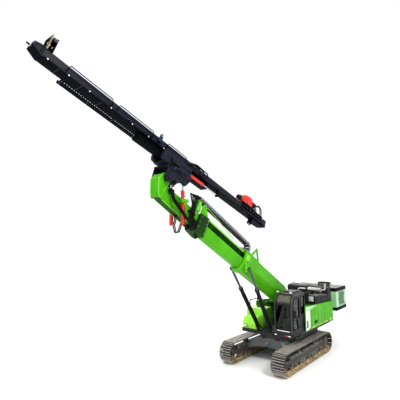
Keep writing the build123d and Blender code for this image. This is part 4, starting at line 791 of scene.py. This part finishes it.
cabt.tube([(1.160, 1.335, 1.60), (1.190, 1.365, 1.66), (1.185, 1.365, 2.32), (1.150, 1.325, 2.40)], 0.014, 10, 1)
cabt.box(W, 0.02, 0.56, 3.136, 3.168, 0.60, 1.15, 6)
for x in (0.08, 0.50):
    cabt.box(W, x - 0.03, x + 0.03, 3.166, 3.178, 0.62, 0.68, 1)
cabt.tube([(1.12, 1.315, 2.52), (1.17, 1.46, 2.56), (1.17, 1.46, 2.46)], 0.010, 8, 1)
cabt.box(W, 1.150, 1.185, 2.20, 2.47, 1.405, 1.515, 1)
cabt.box(W, 1.146, 1.151, 2.215, 2.455, 1.415, 1.505, 5)
# seams and vents in the lower left wall behind the door
for i in range(6):
    z = 1.56 + i * 0.055
    cabt.box(W, -0.13, 0.21, z, z + 0.018, 1.298, 1.306, 1)
cabt.done("cab_grey", bevel=0.003)

door = Build("cab_door_trim", "cab_door", RUBBER, BLACK, STEEL)
D0, D1, DZ0, DZ1 = 0.33, 1.06, 1.455, 2.96
for pts in ([(D0 + 0.06, 2.08), (D1 - 0.055, 2.08), (D1 - 0.055, 2.61), (D1 - 0.205, DZ1 - 0.07), (D0 + 0.06, DZ1 - 0.07)],
            [(D0 + 0.17, 1.56), (D1 - 0.055, 1.56), (D1 - 0.055, 1.99), (D0 + 0.29, 1.99)]):
    door.tube([W(a, b, 1.301) for a, b in pts], 0.011, 8, 0, closed=True)
door.tube([(D0 + 0.70, 1.301, 2.02), (D0 + 0.70, 1.335, 2.03), (D0 + 0.58, 1.335, 2.03), (D0 + 0.58, 1.301, 2.02)], 0.012, 10, 1)
door.cyl((D0 + 0.52, 1.299, 2.03), (D0 + 0.52, 1.312, 2.03), 0.024, 18, 2)
for z in (1.65, 2.02):
    door.box(W, D0 + 0.014, D0 + 0.11, z - 0.03, z + 0.03, 1.299, 1.306, 1)
door.done("cab_grey", bevel=0.002)


# seat, consoles and levers
def cushion(name, c, size, tilt, crown, body="upper"):
    """Crowned pad whose sides pull in between the corners, with sewn channels."""
    bmq = bmesh.new()
    bmesh.ops.create_cube(bmq, size=1.0)
    bmesh.ops.subdivide_edges(bmq, edges=bmq.edges, cuts=11, use_grid_fill=True)
    rot = Matrix.Rotation(tilt, 4, "Y")
    for v in bmq.verts:
        a, b, t = v.co.x * 2, v.co.y * 2, v.co.z * 2
        pull = 1 - 0.05 * (1 - abs(a) ** 2) * abs(b) ** 6 - 0.05 * (1 - abs(b) ** 2) * abs(a) ** 6
        round_ = 1 - 0.16 * max(0, abs(a) ** 8 * abs(t) ** 4) - 0.16 * max(0, abs(b) ** 8 * abs(t) ** 4)
        z = t * (0.72 + 0.28 * (1 - a ** 4) * (1 - b ** 4))
        if t > 0.2:
            z += crown * (1 - a * a) * (1 - b * b) - 0.10 * max(0.0, 1 - ((abs(b) - 0.45) / 0.05) ** 2 if abs(abs(b) - 0.45) < 0.05
                                                               else 0.0)
        p = Vector((a * size[0] / 2 * pull * round_, b * size[1] / 2 * pull * round_, z * size[2] / 2))
        v.co = Vector(c) + rot.to_3x3() @ p
    me = bpy.data.meshes.new(name)
    bmq.to_mesh(me)
    bmq.free()
    for pl in me.polygons:
        pl.use_smooth = True
    me.materials.append(CLOTH)
    ob = bpy.data.objects.new(name, me)
    bpy.context.scene.collection.objects.link(ob)
    sub = ob.modifiers.new("round", "SUBSURF")
    sub.levels = sub.render_levels = 1
    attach(ob, body)
    return ob


cushion("seat_cushion", (0.355, 0.875, 1.79), (0.58, 0.50, 0.14), radians(-4), 0.25)
cushion("seat_back", (0.035, 0.875, 2.15), (0.13, 0.48, 0.64), radians(-10), 0.0)
cushion("seat_headrest", (-0.03, 0.875, 2.575), (0.08, 0.26, 0.19), radians(-10), 0.0)
inner = Build("cab_controls", "upper", TRIM, BLACK, STEEL, CAB, LENS)
inner.prism(W, [(0.15, 1.432), (0.54, 1.432), (0.50, 1.60), (0.54, 1.715), (0.13, 1.715), (0.19, 1.60)], 0.685, 1.065, 0)
inner.box(W, 0.10, 0.60, 1.430, 1.445, 0.66, 1.09, 2)
for y0 in (0.522, 1.132):
    inner.prism(W, [(0.09, 1.432), (0.69, 1.432), (0.69, 1.86), (0.60, 1.975), (0.09, 1.975)], y0, y0 + 0.096, 0)
    inner.box(W, 0.12, 0.42, 1.974, 2.005, y0 + 0.006, y0 + 0.090, 1)
    inner.cyl((0.56, y0 + 0.048, 1.97), (0.57, y0 + 0.048, 2.14), 0.014, 12, 1)
    inner.cyl((0.57, y0 + 0.048, 2.13), (0.575, y0 + 0.048, 2.24), 0.028, 14, 0, r2=0.022, chamfer=0.008)
    inner.cyl((0.56, y0 + 0.048, 1.965), (0.56, y0 + 0.048, 2.02), 0.036, 14, 0, r2=0.018)
inner.prism(W, [(0.945, 1.432), (1.035, 1.432), (1.02, 1.85), (0.955, 1.85)], 0.60, 0.68, 0)
inner.prism(W, [(0.935, 1.85), (0.985, 1.84), (1.04, 2.10), (0.99, 2.115)], 0.515, 0.835, 0)
inner.prism(W, [(0.931, 1.868), (0.936, 1.866), (0.984, 2.094), (0.979, 2.096)], 0.545, 0.805, 4)
for y in (0.86, 0.98):
    inner.prism(W, [(0.80, 1.432), (0.90, 1.432), (0.93, 1.52), (0.90, 1.53)], y, y + 0.09, 2)
    inner.tube([(0.86, y + 0.045, 1.46), (0.80, y + 0.045, 1.74), (0.77, y + 0.045, 1.84)], 0.011, 10, 1)
seat_ob = inner.done("trim", bevel=0.005, replaces=("seat_and_controls",))

# ------------------------------------------------------------------ boom
# the collar's upward faces take the lit lime copy: painted highlight
finish_node("boom_base", [LIME, LIME_DARK, LIME_LIT], 0.012,
            rule=lambda c, n: 2 if (4.4 < in_boom(c)[0] < 4.9 and n.dot(bn) > 0.9) else 0)


# the inner section's side recesses take the shaded lime copy, painted shade; its top flange takes the lit copy, painted
# highlight
def inner_rule(c, n):
    s, h, y = in_boom(c)
    if abs(y) > 0.16 and 0.045 < h < 0.305 and abs(y) < 0.2501:
        return 1 if abs(n.y) > 0.8 and abs(y) < 0.18 else 2
    return 3 if h > 0.30 else 0


finish_node("boom_inner_section", [LIME, LIME_DARK, LIME_DARK, LIME_LIT], 0.008, rule=inner_rule)


# the root block, except its upper sides, and the arm's underside take the shaded lime copy: painted shade
def head_rule(c, n):
    s, h, y = in_boom(c)
    if s < 8.10:
        return 0 if abs(n.y) > 0.8 and abs(y) < 0.225 and h > 0.28 else 1
    return 1 if n.dot(bn) < -0.8 else 0


finish_node("arm_brackets", [LIME], 0.008)
finish_node("arm_hoses", [RUBBER, STEEL], 0.0, rule=lambda c, n: 0)
finish_node("head_arm", [LIME, LIME_DARK], 0.010, rule=head_rule)
finish_node("lift_barrels", [GLOSS], 0.006)
finish_node("left_lift_rod", [RODDARK], 0.005)
finish_node("right_lift_rod", [RODDARK], 0.005)
finish_node("tilt_barrels", [RED], 0.005)
finish_node("tilt_rods", [CHROME], 0.004)

boom = Build("boom_trim", "boom", LIME, LIME_LIT, BLACK, STEEL, LIME_DARK, RUBBER)
for sgn in (1, -1):
    y = sgn * 0.34

    def lay(t0, t1, y=y, sgn=sgn):
        return sorted((y + sgn * t0, y + sgn * t1))

    # bolted wear-pad plates on the collar, bead along its edges, both in the lit lime copy: painted highlight
    boom.prism(B, [(4.56, 0.02), (4.80, 0.02), (4.80, 0.30), (4.56, 0.30)], *lay(-0.002, 0.014), 1)
    for s in (4.60, 4.76):
        for h in (0.06, 0.26):
            boom.bolt(B(s, h, y + sgn * 0.014), (0, sgn, 0), 0.014, 0.014, 3)
    for s in (4.482, 4.878):
        boom.tube([B(s, -0.44, sgn * 0.19), B(s, -0.125, sgn * 0.34), B(s, 0.44, sgn * 0.34)], 0.010, 8, 1)
    # ear pin collar and gusset ribs, in the lit lime copy: painted highlight
    c = Vector((3.12, sgn * 0.362, 4.31))
    boom.ring(c - YV * sgn * 0.002, (0, sgn, 0), 0.058, 0.118, 0.016, 32, 1)
    for ds in (-0.20, 0.20):
        boom.prism(B, [(4.537 + ds - 0.012, -0.10), (4.537 + ds + 0.012, -0.10), (4.537 + ds * 0.6 + 0.012, -0.30),
                       (4.537 + ds * 0.6 - 0.012, -0.30)], *sorted((sgn * 0.360, sgn * 0.372)), 1)
    # long weld bead under the top plate and along the chamfer
    boom.tube([B(1.10, 0.392, sgn * 0.301), B(4.47, 0.392, sgn * 0.301)], 0.006, 6, 0)
    boom.tube([B(1.10, -0.11, sgn * 0.301), B(4.47, -0.11, sgn * 0.301)], 0.006, 6, 0)
    # boss round the foot pin, in the lit lime copy: painted highlight
    boom.ring(FOOT + YV * sgn * 0.298, (0, sgn, 0), 0.075, 0.165, 0.022, 32, 1)
# clips along the chain trough and the rear cover of the top plate
for s in (3.25, 3.75, 4.25):
    boom.box(B, s, s + 0.05, 0.400, 0.416, -0.20, 0.20, 4)
for s in (1.5, 2.2, 2.9):
    boom.box(B, s, s + 0.30, 0.399, 0.411, -0.11, 0.11, 0)
    for ds in (0.03, 0.27):
        for y in (-0.08, 0.08):
            boom.bolt(B(s + ds, 0.411, y), bn, 0.011, 0.010, 3)
boom.done("lime", bevel=0.002)

arm = Build("arm_trim", "boom_inner", LIME_LIT, LIME_DARK, BLACK, STEEL, LIME, RUBBER)
HEX = [(10.022, -0.283), (10.06, -0.287), (10.18, -0.122), (10.372, 0.25), (10.302, 0.502), (10.08, 0.642), (9.928, 0.602),
       (9.898, 0.40), (9.948, 0.20)]
for sgn in (1, -1):
    # raised rim round the six-sided head, edge beads of the arm; rim and beads in the lit lime copy: painted highlight
    arm.tube([B(s, h, sgn * 0.196) for s, h in HEX], 0.014, 8, 0, closed=True)
    for h0, h1 in ((0.262, 0.262), (-0.332, -0.274)):
        arm.tube([B(8.08, h0, sgn * 0.145), B(9.90, h1, sgn * 0.145)], 0.012, 8, 0)
    arm.prism(B, [(8.10, -0.10), (8.75, -0.05), (8.75, 0.12), (8.10, 0.16)], *sorted((sgn * 0.149, sgn * 0.162)), 4)
    # yoke: bolted cap and stiffeners round the tilt cylinder
    ring0 = Vector((6.96, sgn * 0.285, 6.941))
    arm.ring(ring0, (0, 0, 1), 0.080, 0.105, 0.012, 28, 0)
    for dx, dy in ((-0.13, 0.08), (0.13, 0.08), (-0.13, -0.06), (0.13, -0.06)):
        arm.bolt((6.96 + dx, sgn * (0.30 + dy), 6.94), (0, 0, 1), 0.012, 0.012, 3)
    arm.prism(W, [(6.80, 6.822), (7.12, 6.822), (7.02, 6.62), (6.92, 6.62)], *sorted((sgn * 0.150, sgn * 0.164)), 4)
    # root block: flange bolts
    for s, h in ((7.62, 0.26), (7.62, 0.08), (7.62, -0.10), (7.62, -0.28), (8.0, 0.20), (8.0, 0.0), (8.0, -0.2)):
        arm.bolt(B(s, h, sgn * 0.27), (0, sgn, 0), 0.016, 0.016, 3)
    arm.tube([B(7.575, 0.35, sgn * 0.27), B(7.575, -0.42, sgn * 0.27)], 0.012, 8, 4)
    # thin diagonal stay from the trough plate back to the inner section
# brace of the hose trough and the stay above the inner section, in the lit lime copy: painted highlight
arm.tube([B(7.86, 0.700, 0.200), B(7.58, 0.700, 0.200), B(5.81, 0.474, 0.200)], 0.012, 10, 0)
arm.prism(B, [(8.02, 0.40), (8.24, 0.40), (8.16, 0.76), (8.08, 0.76)], 0.108, 0.118, 0)
# pressure pipes and clips in the side recesses, in the shaded lime copy: painted shade
for sgn in (1, -1):
    for h in (0.105, 0.170, 0.235):
        arm.tube([B(4.2, h, sgn * 0.190), B(7.556, h, sgn * 0.190)], 0.017, 10, 1)
    for s_ in (5.2, 5.9, 6.6, 7.3):
        arm.box(B, s_, s_ + 0.05, 0.075, 0.262, *sorted((sgn * 0.168, sgn * 0.212)), 1)
# flange lines of the inner section's top, in the lit lime copy: painted highlight
for sgn in (1, -1):
    arm.box(B, 4.95, 7.55, 0.352, 0.363, *sorted((sgn * 0.180, sgn * 0.222)), 0)
arm.done("lime", bevel=0.002)

# pins that stay in the boom's ears
for sgn, body in ((1, "left_lift_rod"), (-1, "right_lift_rod")):
    pin = Build(body + "_pin", "boom", LIME, BLACK)
    c = Vector((3.12, sgn * 0.46, 4.31))
    pin.cyl(c - YV * sgn * 0.078, c + YV * sgn * 0.050, 0.056, 24, 0, chamfer=0.006)
    pin.bolt(c + YV * sgn * 0.050, (0, sgn, 0), 0.018, 0.014, 1)
    pin.ring(c + YV * sgn * 0.029, (0, sgn, 0), 0.058, 0.078, 0.008, 28, 1)
    pin.done("lime")

lift = Build("lift_barrel_trim", "lift_barrels", BLACK, STEEL, RUBBER, GLOSS)
for sgn in (1, -1):
    b0, t0 = Vector((1.2, sgn * 0.30, 1.45)), Vector((3.12, sgn * 0.46, 4.31))
    d = (t0 - b0).normalized()
    n_ = d.cross(YV).normalized()
    lift.ring(b0 + d * 2.405, d, 0.050, 0.082, 0.03, 28, 1)
    lift.bolt_circle(b0 + d * 2.408, d, 0.088, 8, 0.009, 0.012, 0)
    for a in (0.20, 1.10, 1.95):
        lift.ring(b0 + d * a, d, 0.086, 0.096, 0.035, 28, 0)
    # pressure pipe along the barrel
    off = n_ * -0.112
    lift.tube([b0 + d * 0.26 + n_ * -0.08, b0 + d * 0.30 + off, b0 + d * 2.18 + off, b0 + d * 2.24 + n_ * -0.085], 0.014, 10, 0)
    lift.box(lambda a, h, y, b0=b0, d=d, n_=n_: b0 + d * a + n_ * h + YV * y, 0.20, 0.34, -0.125, -0.075, -0.04, 0.04, 0)
lift.done("cylinder_black", bevel=0.002)

tilt = Build("tilt_barrel_trim", "tilt_barrels", RED, BLACK, STEEL)
for sgn in (1, -1):
    x, y = 6.96, sgn * 0.285
    tilt.ring((x, y, 7.228), (0, 0, 1), 0.032, 0.052, 0.024, 24, 2)
    tilt.cyl((x, y, 6.078), (x, y, 6.060), 0.050, 24, 0, chamfer=0.008)
    for z in (6.16, 7.13):
        tilt.ring((x, y, z), (0, 0, 1), 0.056, 0.068, 0.03, 28, 0)
    for z in (6.14, 7.05):
        tilt.cyl((x - 0.05, y, z), (x - 0.095, y, z), 0.020, 12, 1)
    tilt.tube([(x - 0.086, y, 6.14), (x - 0.094, y, 6.22), (x - 0.094, y, 6.72)], 0.011, 8, 1)
tilt.done("red", bevel=0.001)


# ------------------------------------------------------------------ energy chain
def chain_link(piece, f, a0, pitch):
    """One link: two outlined side plates and two cross bars, in the run's own directions."""
    for y0, y1 in ((-0.130, -0.112), (0.112, 0.130)):
        piece.prism(f, [(a0 + 0.004, -0.058), (a0 + pitch - 0.010, -0.058), (a0 + pitch, -0.020), (a0 + pitch, 0.040),
                        (a0 + pitch - 0.012, 0.064), (a0 + 0.006, 0.064), (a0, 0.030), (a0, -0.035)], y0, y1, 1)
        e = 0.006 if y0 > 0 else -0.006
        yy = sorted(((y1 if y0 > 0 else y0), (y1 if y0 > 0 else y0) + e))
        piece.box(f, a0 + 0.006, a0 + pitch - 0.008, 0.004, 0.064, *yy, 0)
        piece.box(f, a0 + 0.010, a0 + pitch - 0.030, -0.058, -0.030, *yy, 0)
    piece.box(f, a0 + 0.008, a0 + pitch - 0.010, 0.052, 0.0645, -0.113, 0.113, 0)
    piece.box(f, a0 + 0.030, a0 + pitch - 0.030, -0.060, -0.048, -0.113, 0.113, 1)


CH_H, BEND_S, BEND_R, PITCH_L = 0.885, 4.62, 0.18, 0.1085
run = Build("energy_chain_links", None, CHAINGREY, CHAINDARK, RUBBER)
count = int((8.24 - BEND_S) / PITCH_L)
step = (8.24 - BEND_S) / count
for i in range(count):
    chain_link(run, lambda a, h, y: B(a, CH_H + h, y), BEND_S + i * step, step)
for j, y in enumerate((-0.075, -0.03, 0.02, 0.07)):
    run.tube([B(BEND_S + 0.01, CH_H - 0.01 + 0.008 * (j % 2), y), B(8.22, CH_H - 0.01 + 0.008 * (j % 2), y)], 0.018, 8, 2)
run_ob = run.done("chain_plastic", replaces=("energy_chain_run",))
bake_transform(run_ob)
bend = Build("energy_chain_bend_links", "chain_bend", CHAINGREY, CHAINDARK, RUBBER)
for i in range(5):
    t0 = pi / 2 + pi * (i + 0.5) / 5
    c = B(BEND_S, CH_H - BEND_R, 0)
    rad = bu * cos(t0) + bn * sin(t0)
    tan = bu * -sin(t0) + bn * cos(t0)
    chain_link(bend, lambda a, h, y, c=c, rad=rad, tan=tan: c + rad * (BEND_R + h) + tan * a + YV * y, -0.0545, 0.109)
for i in range(2):
    chain_link(bend, lambda a, h, y: B(a, CH_H - 2 * BEND_R - h, y), BEND_S + 0.01 + i * 0.109, 0.109)
bend.done("chain_plastic", replaces=("energy_chain_bend",))

# ------------------------------------------------------------------ mast head
finish_node("mast_bracket", [BRACKET], 0.010)
finish_node("slide_frame", [BRACKET], 0.010)
finish_node("slide_barrel", [RED], 0.005)
finish_node("slide_rod", [CHROME, MAST], 0.004, rule=lambda c, n: 1 if in_mast(c)[0] < -2.559 else 0)

br = Build("mast_bracket_trim", "mast_bracket", BRACKET, BOLTDARK, BLACK)
for sgn in (1, -1):
    c = PIVOT + YV * sgn * 0.372
    br.cyl(c - YV * sgn * 0.004, c + YV * sgn * 0.020, 0.062, 26, 1, chamfer=0.006)
    br.bolt_circle(PIVOT + YV * sgn * 0.350, (0, sgn, 0), 0.128, 12, 0.013, 0.016, 1)
    br.ring(PIVOT + YV * sgn * 0.349, (0, sgn, 0), 0.082, 0.165, 0.012, 36, 0)
    br.ring(M(-0.42, 0.20, sgn * 0.349), (0, sgn, 0), 0.075, 0.115, 0.014, 32, 0)
    br.bolt_circle(M(-0.42, 0.20, sgn * 0.360), (0, sgn, 0), 0.095, 10, 0.009, 0.010, 1)
    # bracket plate's stiffening edge
    br.tube([M(0.168, 0.33, sgn * 0.352), M(0.163, -0.02, sgn * 0.352)], 0.012, 8, 0)
    br.tube([M(-0.955, 0.33, sgn * 0.352), M(-0.78, 0.10, sgn * 0.352)], 0.012, 8, 0)
    br.prism(M, [(-0.90, 0.330), (0.14, 0.330), (0.14, 0.300), (-0.90, 0.290)], *sorted((sgn * 0.350, sgn * 0.378)), 0)
    for m in (-0.8, -0.6, -0.4, -0.2, 0.0):
        br.bolt(M(m, 0.312, sgn * 0.378), (0, sgn, 0), 0.011, 0.010, 1)
    # eye boss of the tilt rod on the cheek
    eye = Vector((6.96, sgn * 0.337, 7.50))
    br.ring(eye + YV * sgn * 0.012, (0, sgn, 0), 0.035, 0.075, 0.016, 28, 0)
    br.cyl(eye + YV * sgn * 0.010, eye + YV * sgn * 0.034, 0.034, 20, 1, chamfer=0.004)
for i in range(28):
    a = 2 * pi * i / 28
    p = M(-0.35 + 0.405 * cos(a), 0.397, 0.405 * sin(a))
    d = (mu * cos(a) + YV * sin(a))
    br.box(lambda q, h, y, p=p, d=d: p + d * q + mn * h + mn.cross(d) * y, -0.012, 0.010, -0.010, 0.010, -0.012, 0.012, 1)
br.done("bracket_black", bevel=0.002)

sf = Build("slide_frame_trim", "slide_frame", BRACKET, BOLTDARK, BLACK, RED, RUBBER)
for sgn in (1, -1):
    for m in (-0.88, -0.62, -0.36, -0.10, 0.16):
        for k in (0.735, 0.805):
            sf.bolt(M(m, k, sgn * 0.300), (0, sgn, 0), 0.015, 0.016, 1)
    sf.prism(M, [(-0.95, 0.70), (0.31, 0.70), (0.31, 0.672), (-0.95, 0.672)], *sorted((sgn * 0.299, sgn * 0.322)), 0)
    sf.prism(M, [(-0.70, 0.458), (-0.10, 0.458), (-0.10, 0.512), (-0.70, 0.512)], *sorted((sgn * 0.299, sgn * 0.345)), 0)
    sf.tube([M(-0.955, 0.46, sgn * 0.302), M(0.315, 0.46, sgn * 0.302)], 0.010, 8, 0)
for i in range(28):
    a = 2 * pi * (i + 0.5) / 28
    p = M(-0.35 + 0.404 * cos(a), 0.436, 0.404 * sin(a))
    d = (mu * cos(a) + YV * sin(a))
    sf.box(lambda q, h, y, p=p, d=d: p + d * q + mn * h + mn.cross(d) * y, -0.012, 0.010, -0.010, 0.010, -0.012, 0.012, 1)
# front guard box of the slide frame and valve block beside it
sf.prism(M, [(0.318, 0.47), (0.46, 0.50), (0.50, 0.62), (0.46, 0.80), (0.318, 0.83)], 0.190, 0.300, 0)
sf.prism(M, [(0.318, 0.47), (0.46, 0.50), (0.50, 0.62), (0.46, 0.80), (0.318, 0.83)], -0.300, -0.190, 0)
sf.box(M, -0.30, 0.10, 0.53, 0.66, 0.322, 0.400, 2)
for i in range(5):
    sf.cyl(M(-0.26 + i * 0.08, 0.66, 0.36), M(-0.26 + i * 0.08, 0.70, 0.36), 0.016, 12, 1, chamfer=0.003)
# gland of the slide cylinder
sf.ring(M(-1.735, 0.60, 0.242), mu, 0.028, 0.050, 0.02, 24, 1)
for m in (-1.66, -1.10):
    sf.ring(M(m, 0.60, 0.242), mu, 0.050, 0.062, 0.04, 24, 3)
sf.done("bracket_black", bevel=0.002)

# ------------------------------------------------------------------ mast
# the beam's upper sides and the end pieces' sides take the lighter copy: painted light
finish_node("mast_beam", [MAST, MASTLIT], 0.006, rule=lambda c, n: 1 if abs(n.y) > 0.9 and in_mast(c)[1] > 0.84 else 0)
finish_node("mast_ends", [MAST, MASTLIT], 0.006, rule=lambda c, n: 1 if abs(n.y) > 0.9 else 0)
finish_node("front_clamp", [MAST], 0.005)
finish_node("drill_carriage", [MAST], 0.006)
finish_node("rotary_drive", [RED, BLACK], 0.014, rule=lambda c, n: 1 if in_mast(c)[0] < -5.08 or in_mast(c)[1] < 1.22 else 0)
finish_node("drill_spindle", [BLACK, CABEDGE], 0.004, rule=lambda c, n: 1 if in_mast(c)[0] < -5.43 else 0)
finish_node("drive_hoses", [RUBBER], 0.0)

mast = Build("mast_trim", "mast", MAST, MASTLIT, OLIVE, WHITE, BLACK, STEEL, NAVY, TAN, RUBBER)
for sgn in (1, -1):
    y = sgn * 0.18

    def lay(t0, t1, y=y, sgn=sgn):
        return sorted((y + sgn * t0, y + sgn * t1))

    # edge bars and thin tan lines on the side of the beam, kept below the carriage skirts
    mast.box(M, -6.2, 4.86, 0.850, 0.872, *lay(-0.002, 0.004), 0)
    mast.box(M, -6.2, 4.86, 0.9050, 0.9085, *lay(-0.001, 0.0025), 2)
    mast.box(M, -6.2, 4.86, 1.090, 1.0965, *lay(-0.001, 0.0025), 2)
    # pale bolt heads along the lower edge
    for m in (4.75, 4.13, 3.46, 2.70, 1.87, 1.17, 0.45, -2.5, -3.2, -3.9, -4.6, -5.3):
        mast.bolt(M(m, 0.872, y + sgn * 0.004), (0, sgn, 0), 0.016, 0.016, 3 if m > 0 else 1)
    # oblong openings with a raised lip
    for m in (4.05, 2.78, 1.28, -2.6, -3.9, -5.2):
        half, r = (0.30, 0.022) if m == 4.05 else (0.13, 0.020)
        ring = [(m + half + r * cos(a), 0.932 + r * sin(a)) for a in [pi * (j / 8 - 0.5) for j in range(9)]]
        ring += [(m - half + r * cos(a), 0.932 + r * sin(a)) for a in [pi * (j / 8 + 0.5) for j in range(9)]]
        mast.prism(M, ring, *lay(-0.001, 0.0025), 4)
# joints between the beam's lengths
for m in (2.0, -1.55, -4.4):
    for sgn in (1, -1):
        mast.box(M, m - 0.06, m + 0.06, 0.850, 0.952, *sorted((sgn * 0.180, sgn * 0.1845)), 0)
        for dm in (-0.04, 0.04):
            mast.bolt(M(m + dm, 0.93, sgn * 0.1845), (0, sgn, 0), 0.008, 0.0008 + 0.003, 5)
# ribs under the beam, clear of the slide frame
for i in range(16):
    m = -6.1 + i * 0.70
    if -3.05 < m < 2.4:
        continue
    mast.box(M, m, m + 0.03, 0.838, 0.852, -0.175, 0.175, 1)
# tube rails beside the top edge on short stays that pass outside the carriage skirts
for ma, mb in ((4.24, 2.74), (2.53, 1.07), (0.40, -0.60)):
    mast.tube([M(ma, 1.010, 0.262), M(ma - 0.04, 1.090, 0.262), M(mb + 0.04, 1.090, 0.262), M(mb, 1.010, 0.262)], 0.014, 8, 6)
    for m in (ma, mb):
        mast.box(M, m - 0.012, m + 0.012, 0.912, 1.030, 0.254, 0.266, 0)
        mast.box(M, m - 0.012, m + 0.012, 0.912, 0.936, 0.178, 0.266, 0)
# hoses that leave the beam behind the slide frame and run along its edge
for i, (ma, mb) in enumerate(((-0.70, -1.34), (-0.76, -1.52), (-0.82, -1.70))):
    y = 0.272 + 0.043 * i
    mast.tube([M(ma, 0.925, 0.178), M(ma - 0.06, 0.945, y), M(ma - 0.16, 1.035, y), M(ma - 0.30, 1.060, y), M(mb, 1.030, y),
               M(mb - 0.08, 0.945, y), M(mb - 0.12, 0.925, 0.178)], 0.019, 10, 8)
# hook plate between two rails
mast.prism(M, [(0.66, 0.915), (0.82, 0.915), (0.80, 1.16), (0.76, 1.235), (0.70, 1.235), (0.675, 1.16)], 0.250, 0.272, 6)
mast.box(M, 0.68, 0.80, 0.912, 0.936, 0.178, 0.272, 0)
mast.ring(M(0.735, 1.175, 0.245), (0, 1, 0), 0.022, 0.052, 0.034, 20, 5)
# feed chain lying on the beam
n = 150
for i in range(n):
    m = -6.15 + i * (10.7 / n)
    for y0, y1 in ((-0.026, -0.018), (0.018, 0.026)):
        mast.box(M, m + (0.0 if i % 2 else 0.004), m + 0.064, 1.060, 1.078, y0 * (1.0 if i % 2 else 0.8), y1 * (1.0 if i % 2 else 0.8), 5)
    mast.cyl(M(m + 0.034, 1.069, -0.017), M(m + 0.034, 1.069, 0.017), 0.008, 8, 5)
# nose: pin collar, edge plates; tail: shackle ring and stop
mast.ring(M(5.19, 1.01, 0), mu, 0.024, 0.050, 0.03, 20, 5)
for sgn in (1, -1):
    mast.prism(M, [(4.985, 0.905), (5.11, 0.985), (5.11, 1.035), (4.985, 1.055)], *sorted((sgn * 0.178, sgn * 0.183)), 4)
    mast.box(M, 4.895, 4.915, 0.835, 1.10, *sorted((sgn * 0.180, sgn * 0.190)), 1)
    mast.ring(M(-6.36, 0.96, sgn * 0.179), (0, sgn, 0), 0.045, 0.090, 0.014, 28, 1)
    mast.bolt_circle(M(-6.36, 0.96, sgn * 0.190), (0, sgn, 0), 0.070, 6, 0.009, 0.010, 5)
mast.ring(M(-5.46, 0.585, -0.02), (0, 1, 0), 0.055, 0.085, 0.04, 26, 5)
# clamp: pale edge strips, jaw rams
mast.box(M, 4.862, 4.898, 1.10, 1.558, 0.199, 0.2045, 7)
mast.box(M, 4.862, 4.898, 1.10, 1.558, -0.2045, -0.199, 7)
mast.box(M, 4.862, 4.898, 1.559, 1.5645, -0.20, 0.20, 7)
for sgn in (1, -1):
    mast.cyl(M(4.805, 1.37, sgn * 0.288), M(4.805, 1.37, sgn * 0.34), 0.052, 22, 4, chamfer=0.006)
    mast.bolt_circle(M(4.805, 1.37, sgn * 0.34), (0, sgn, 0), 0.034, 6, 0.007, 0.008, 5)
    for k in (1.14, 1.24, 1.48, 1.53):
        mast.bolt(M(4.86 + 0.04, k, sgn * 0.165), mu, 0.013, 0.012, 5)
mast.done("mast_blue_black", bevel=0.0)

# perforated tray: strips and cross bars leave the rows of holes
tray = Build("perforated_tray", "mast", MAST, MASTLIT, BRACKET)
m0, m1, k0 = 0.45, 4.15, 0.848
for y0, y1 in ((-0.460, -0.428), (-0.388, -0.340), (-0.300, -0.252), (-0.212, -0.180)):
    tray.box(M, m0, m1, k0, k0 + 0.008, y0, y1, 0)
bars = 47
for i in range(bars + 1):
    m = m0 + (m1 - m0 - 0.04) * i / bars
    tray.box(M, m, m + 0.04, k0 + 0.0005, k0 + 0.0075, -0.459, -0.181, 0)
for y0, y1 in ((-0.460, -0.452), (-0.188, -0.180)):
    tray.box(M, m0, m1, k0, 0.942, y0, y1, 1)
tray.tube([M(m0, 0.942, -0.456), M(m1, 0.942, -0.456)], 0.008, 8, 1)
for m in (0.5, 1.4, 2.3, 3.2, 4.1):
    tray.box(M, m - 0.02, m + 0.02, k0 - 0.0035, k0 + 0.001, -0.462, -0.175, 2)
tray.done("tray_steel", replaces=("hose_tray",))

# carriage and rotary drive: bolts, covers, ports
ca = Build("carriage_trim", "drill_carriage", MAST, STEEL, RED, BLACK, RUBBER, CABEDGE)
for sgn in (1, -1):
    for i in range(7):
        ca.bolt(M(-5.95 + i * 0.235, 1.03, sgn * 0.230), (0, sgn, 0), 0.012, 0.012, 1)
    ca.cyl(M(-4.75, 1.37, sgn * 0.208), M(-4.75, 1.37, sgn * 0.240), 0.110, 30, 2, chamfer=0.010)
    ca.bolt_circle(M(-4.75, 1.37, sgn * 0.240), (0, sgn, 0), 0.085, 8, 0.010, 0.012, 1)
    ca.ring(M(-5.435, 1.43, sgn * 0.13), mu * -1, 0.03, 0.078, 0.016, 24, 3)
    ca.ring(M(-5.13, 1.43, sgn * 0.13), mu, 0.084, 0.100, 0.03, 24, 2)
    for m in (-5.00, -4.86, -4.62, -4.50):
        ca.bolt(M(m, 1.235, sgn * 0.210), (0, sgn, 0), 0.012, 0.012, 1)
for yy in (-0.17, -0.105, 0.105, 0.17):
    ca.ring(M(-5.436, 1.43, yy), mu * -1, 0.018, 0.030, 0.05, 14, 5)
    ca.ring(M(-6.0, 1.147, yy), mn, 0.018, 0.030, 0.045, 14, 5)
ca.ring(M(-4.398, 1.37, 0), mu, 0.098, 0.150, 0.014, 32, 1)
ca.bolt_circle(M(-4.386, 1.37, 0), mu, 0.128, 10, 0.010, 0.010, 3)
ca.done("red", bevel=0.001)
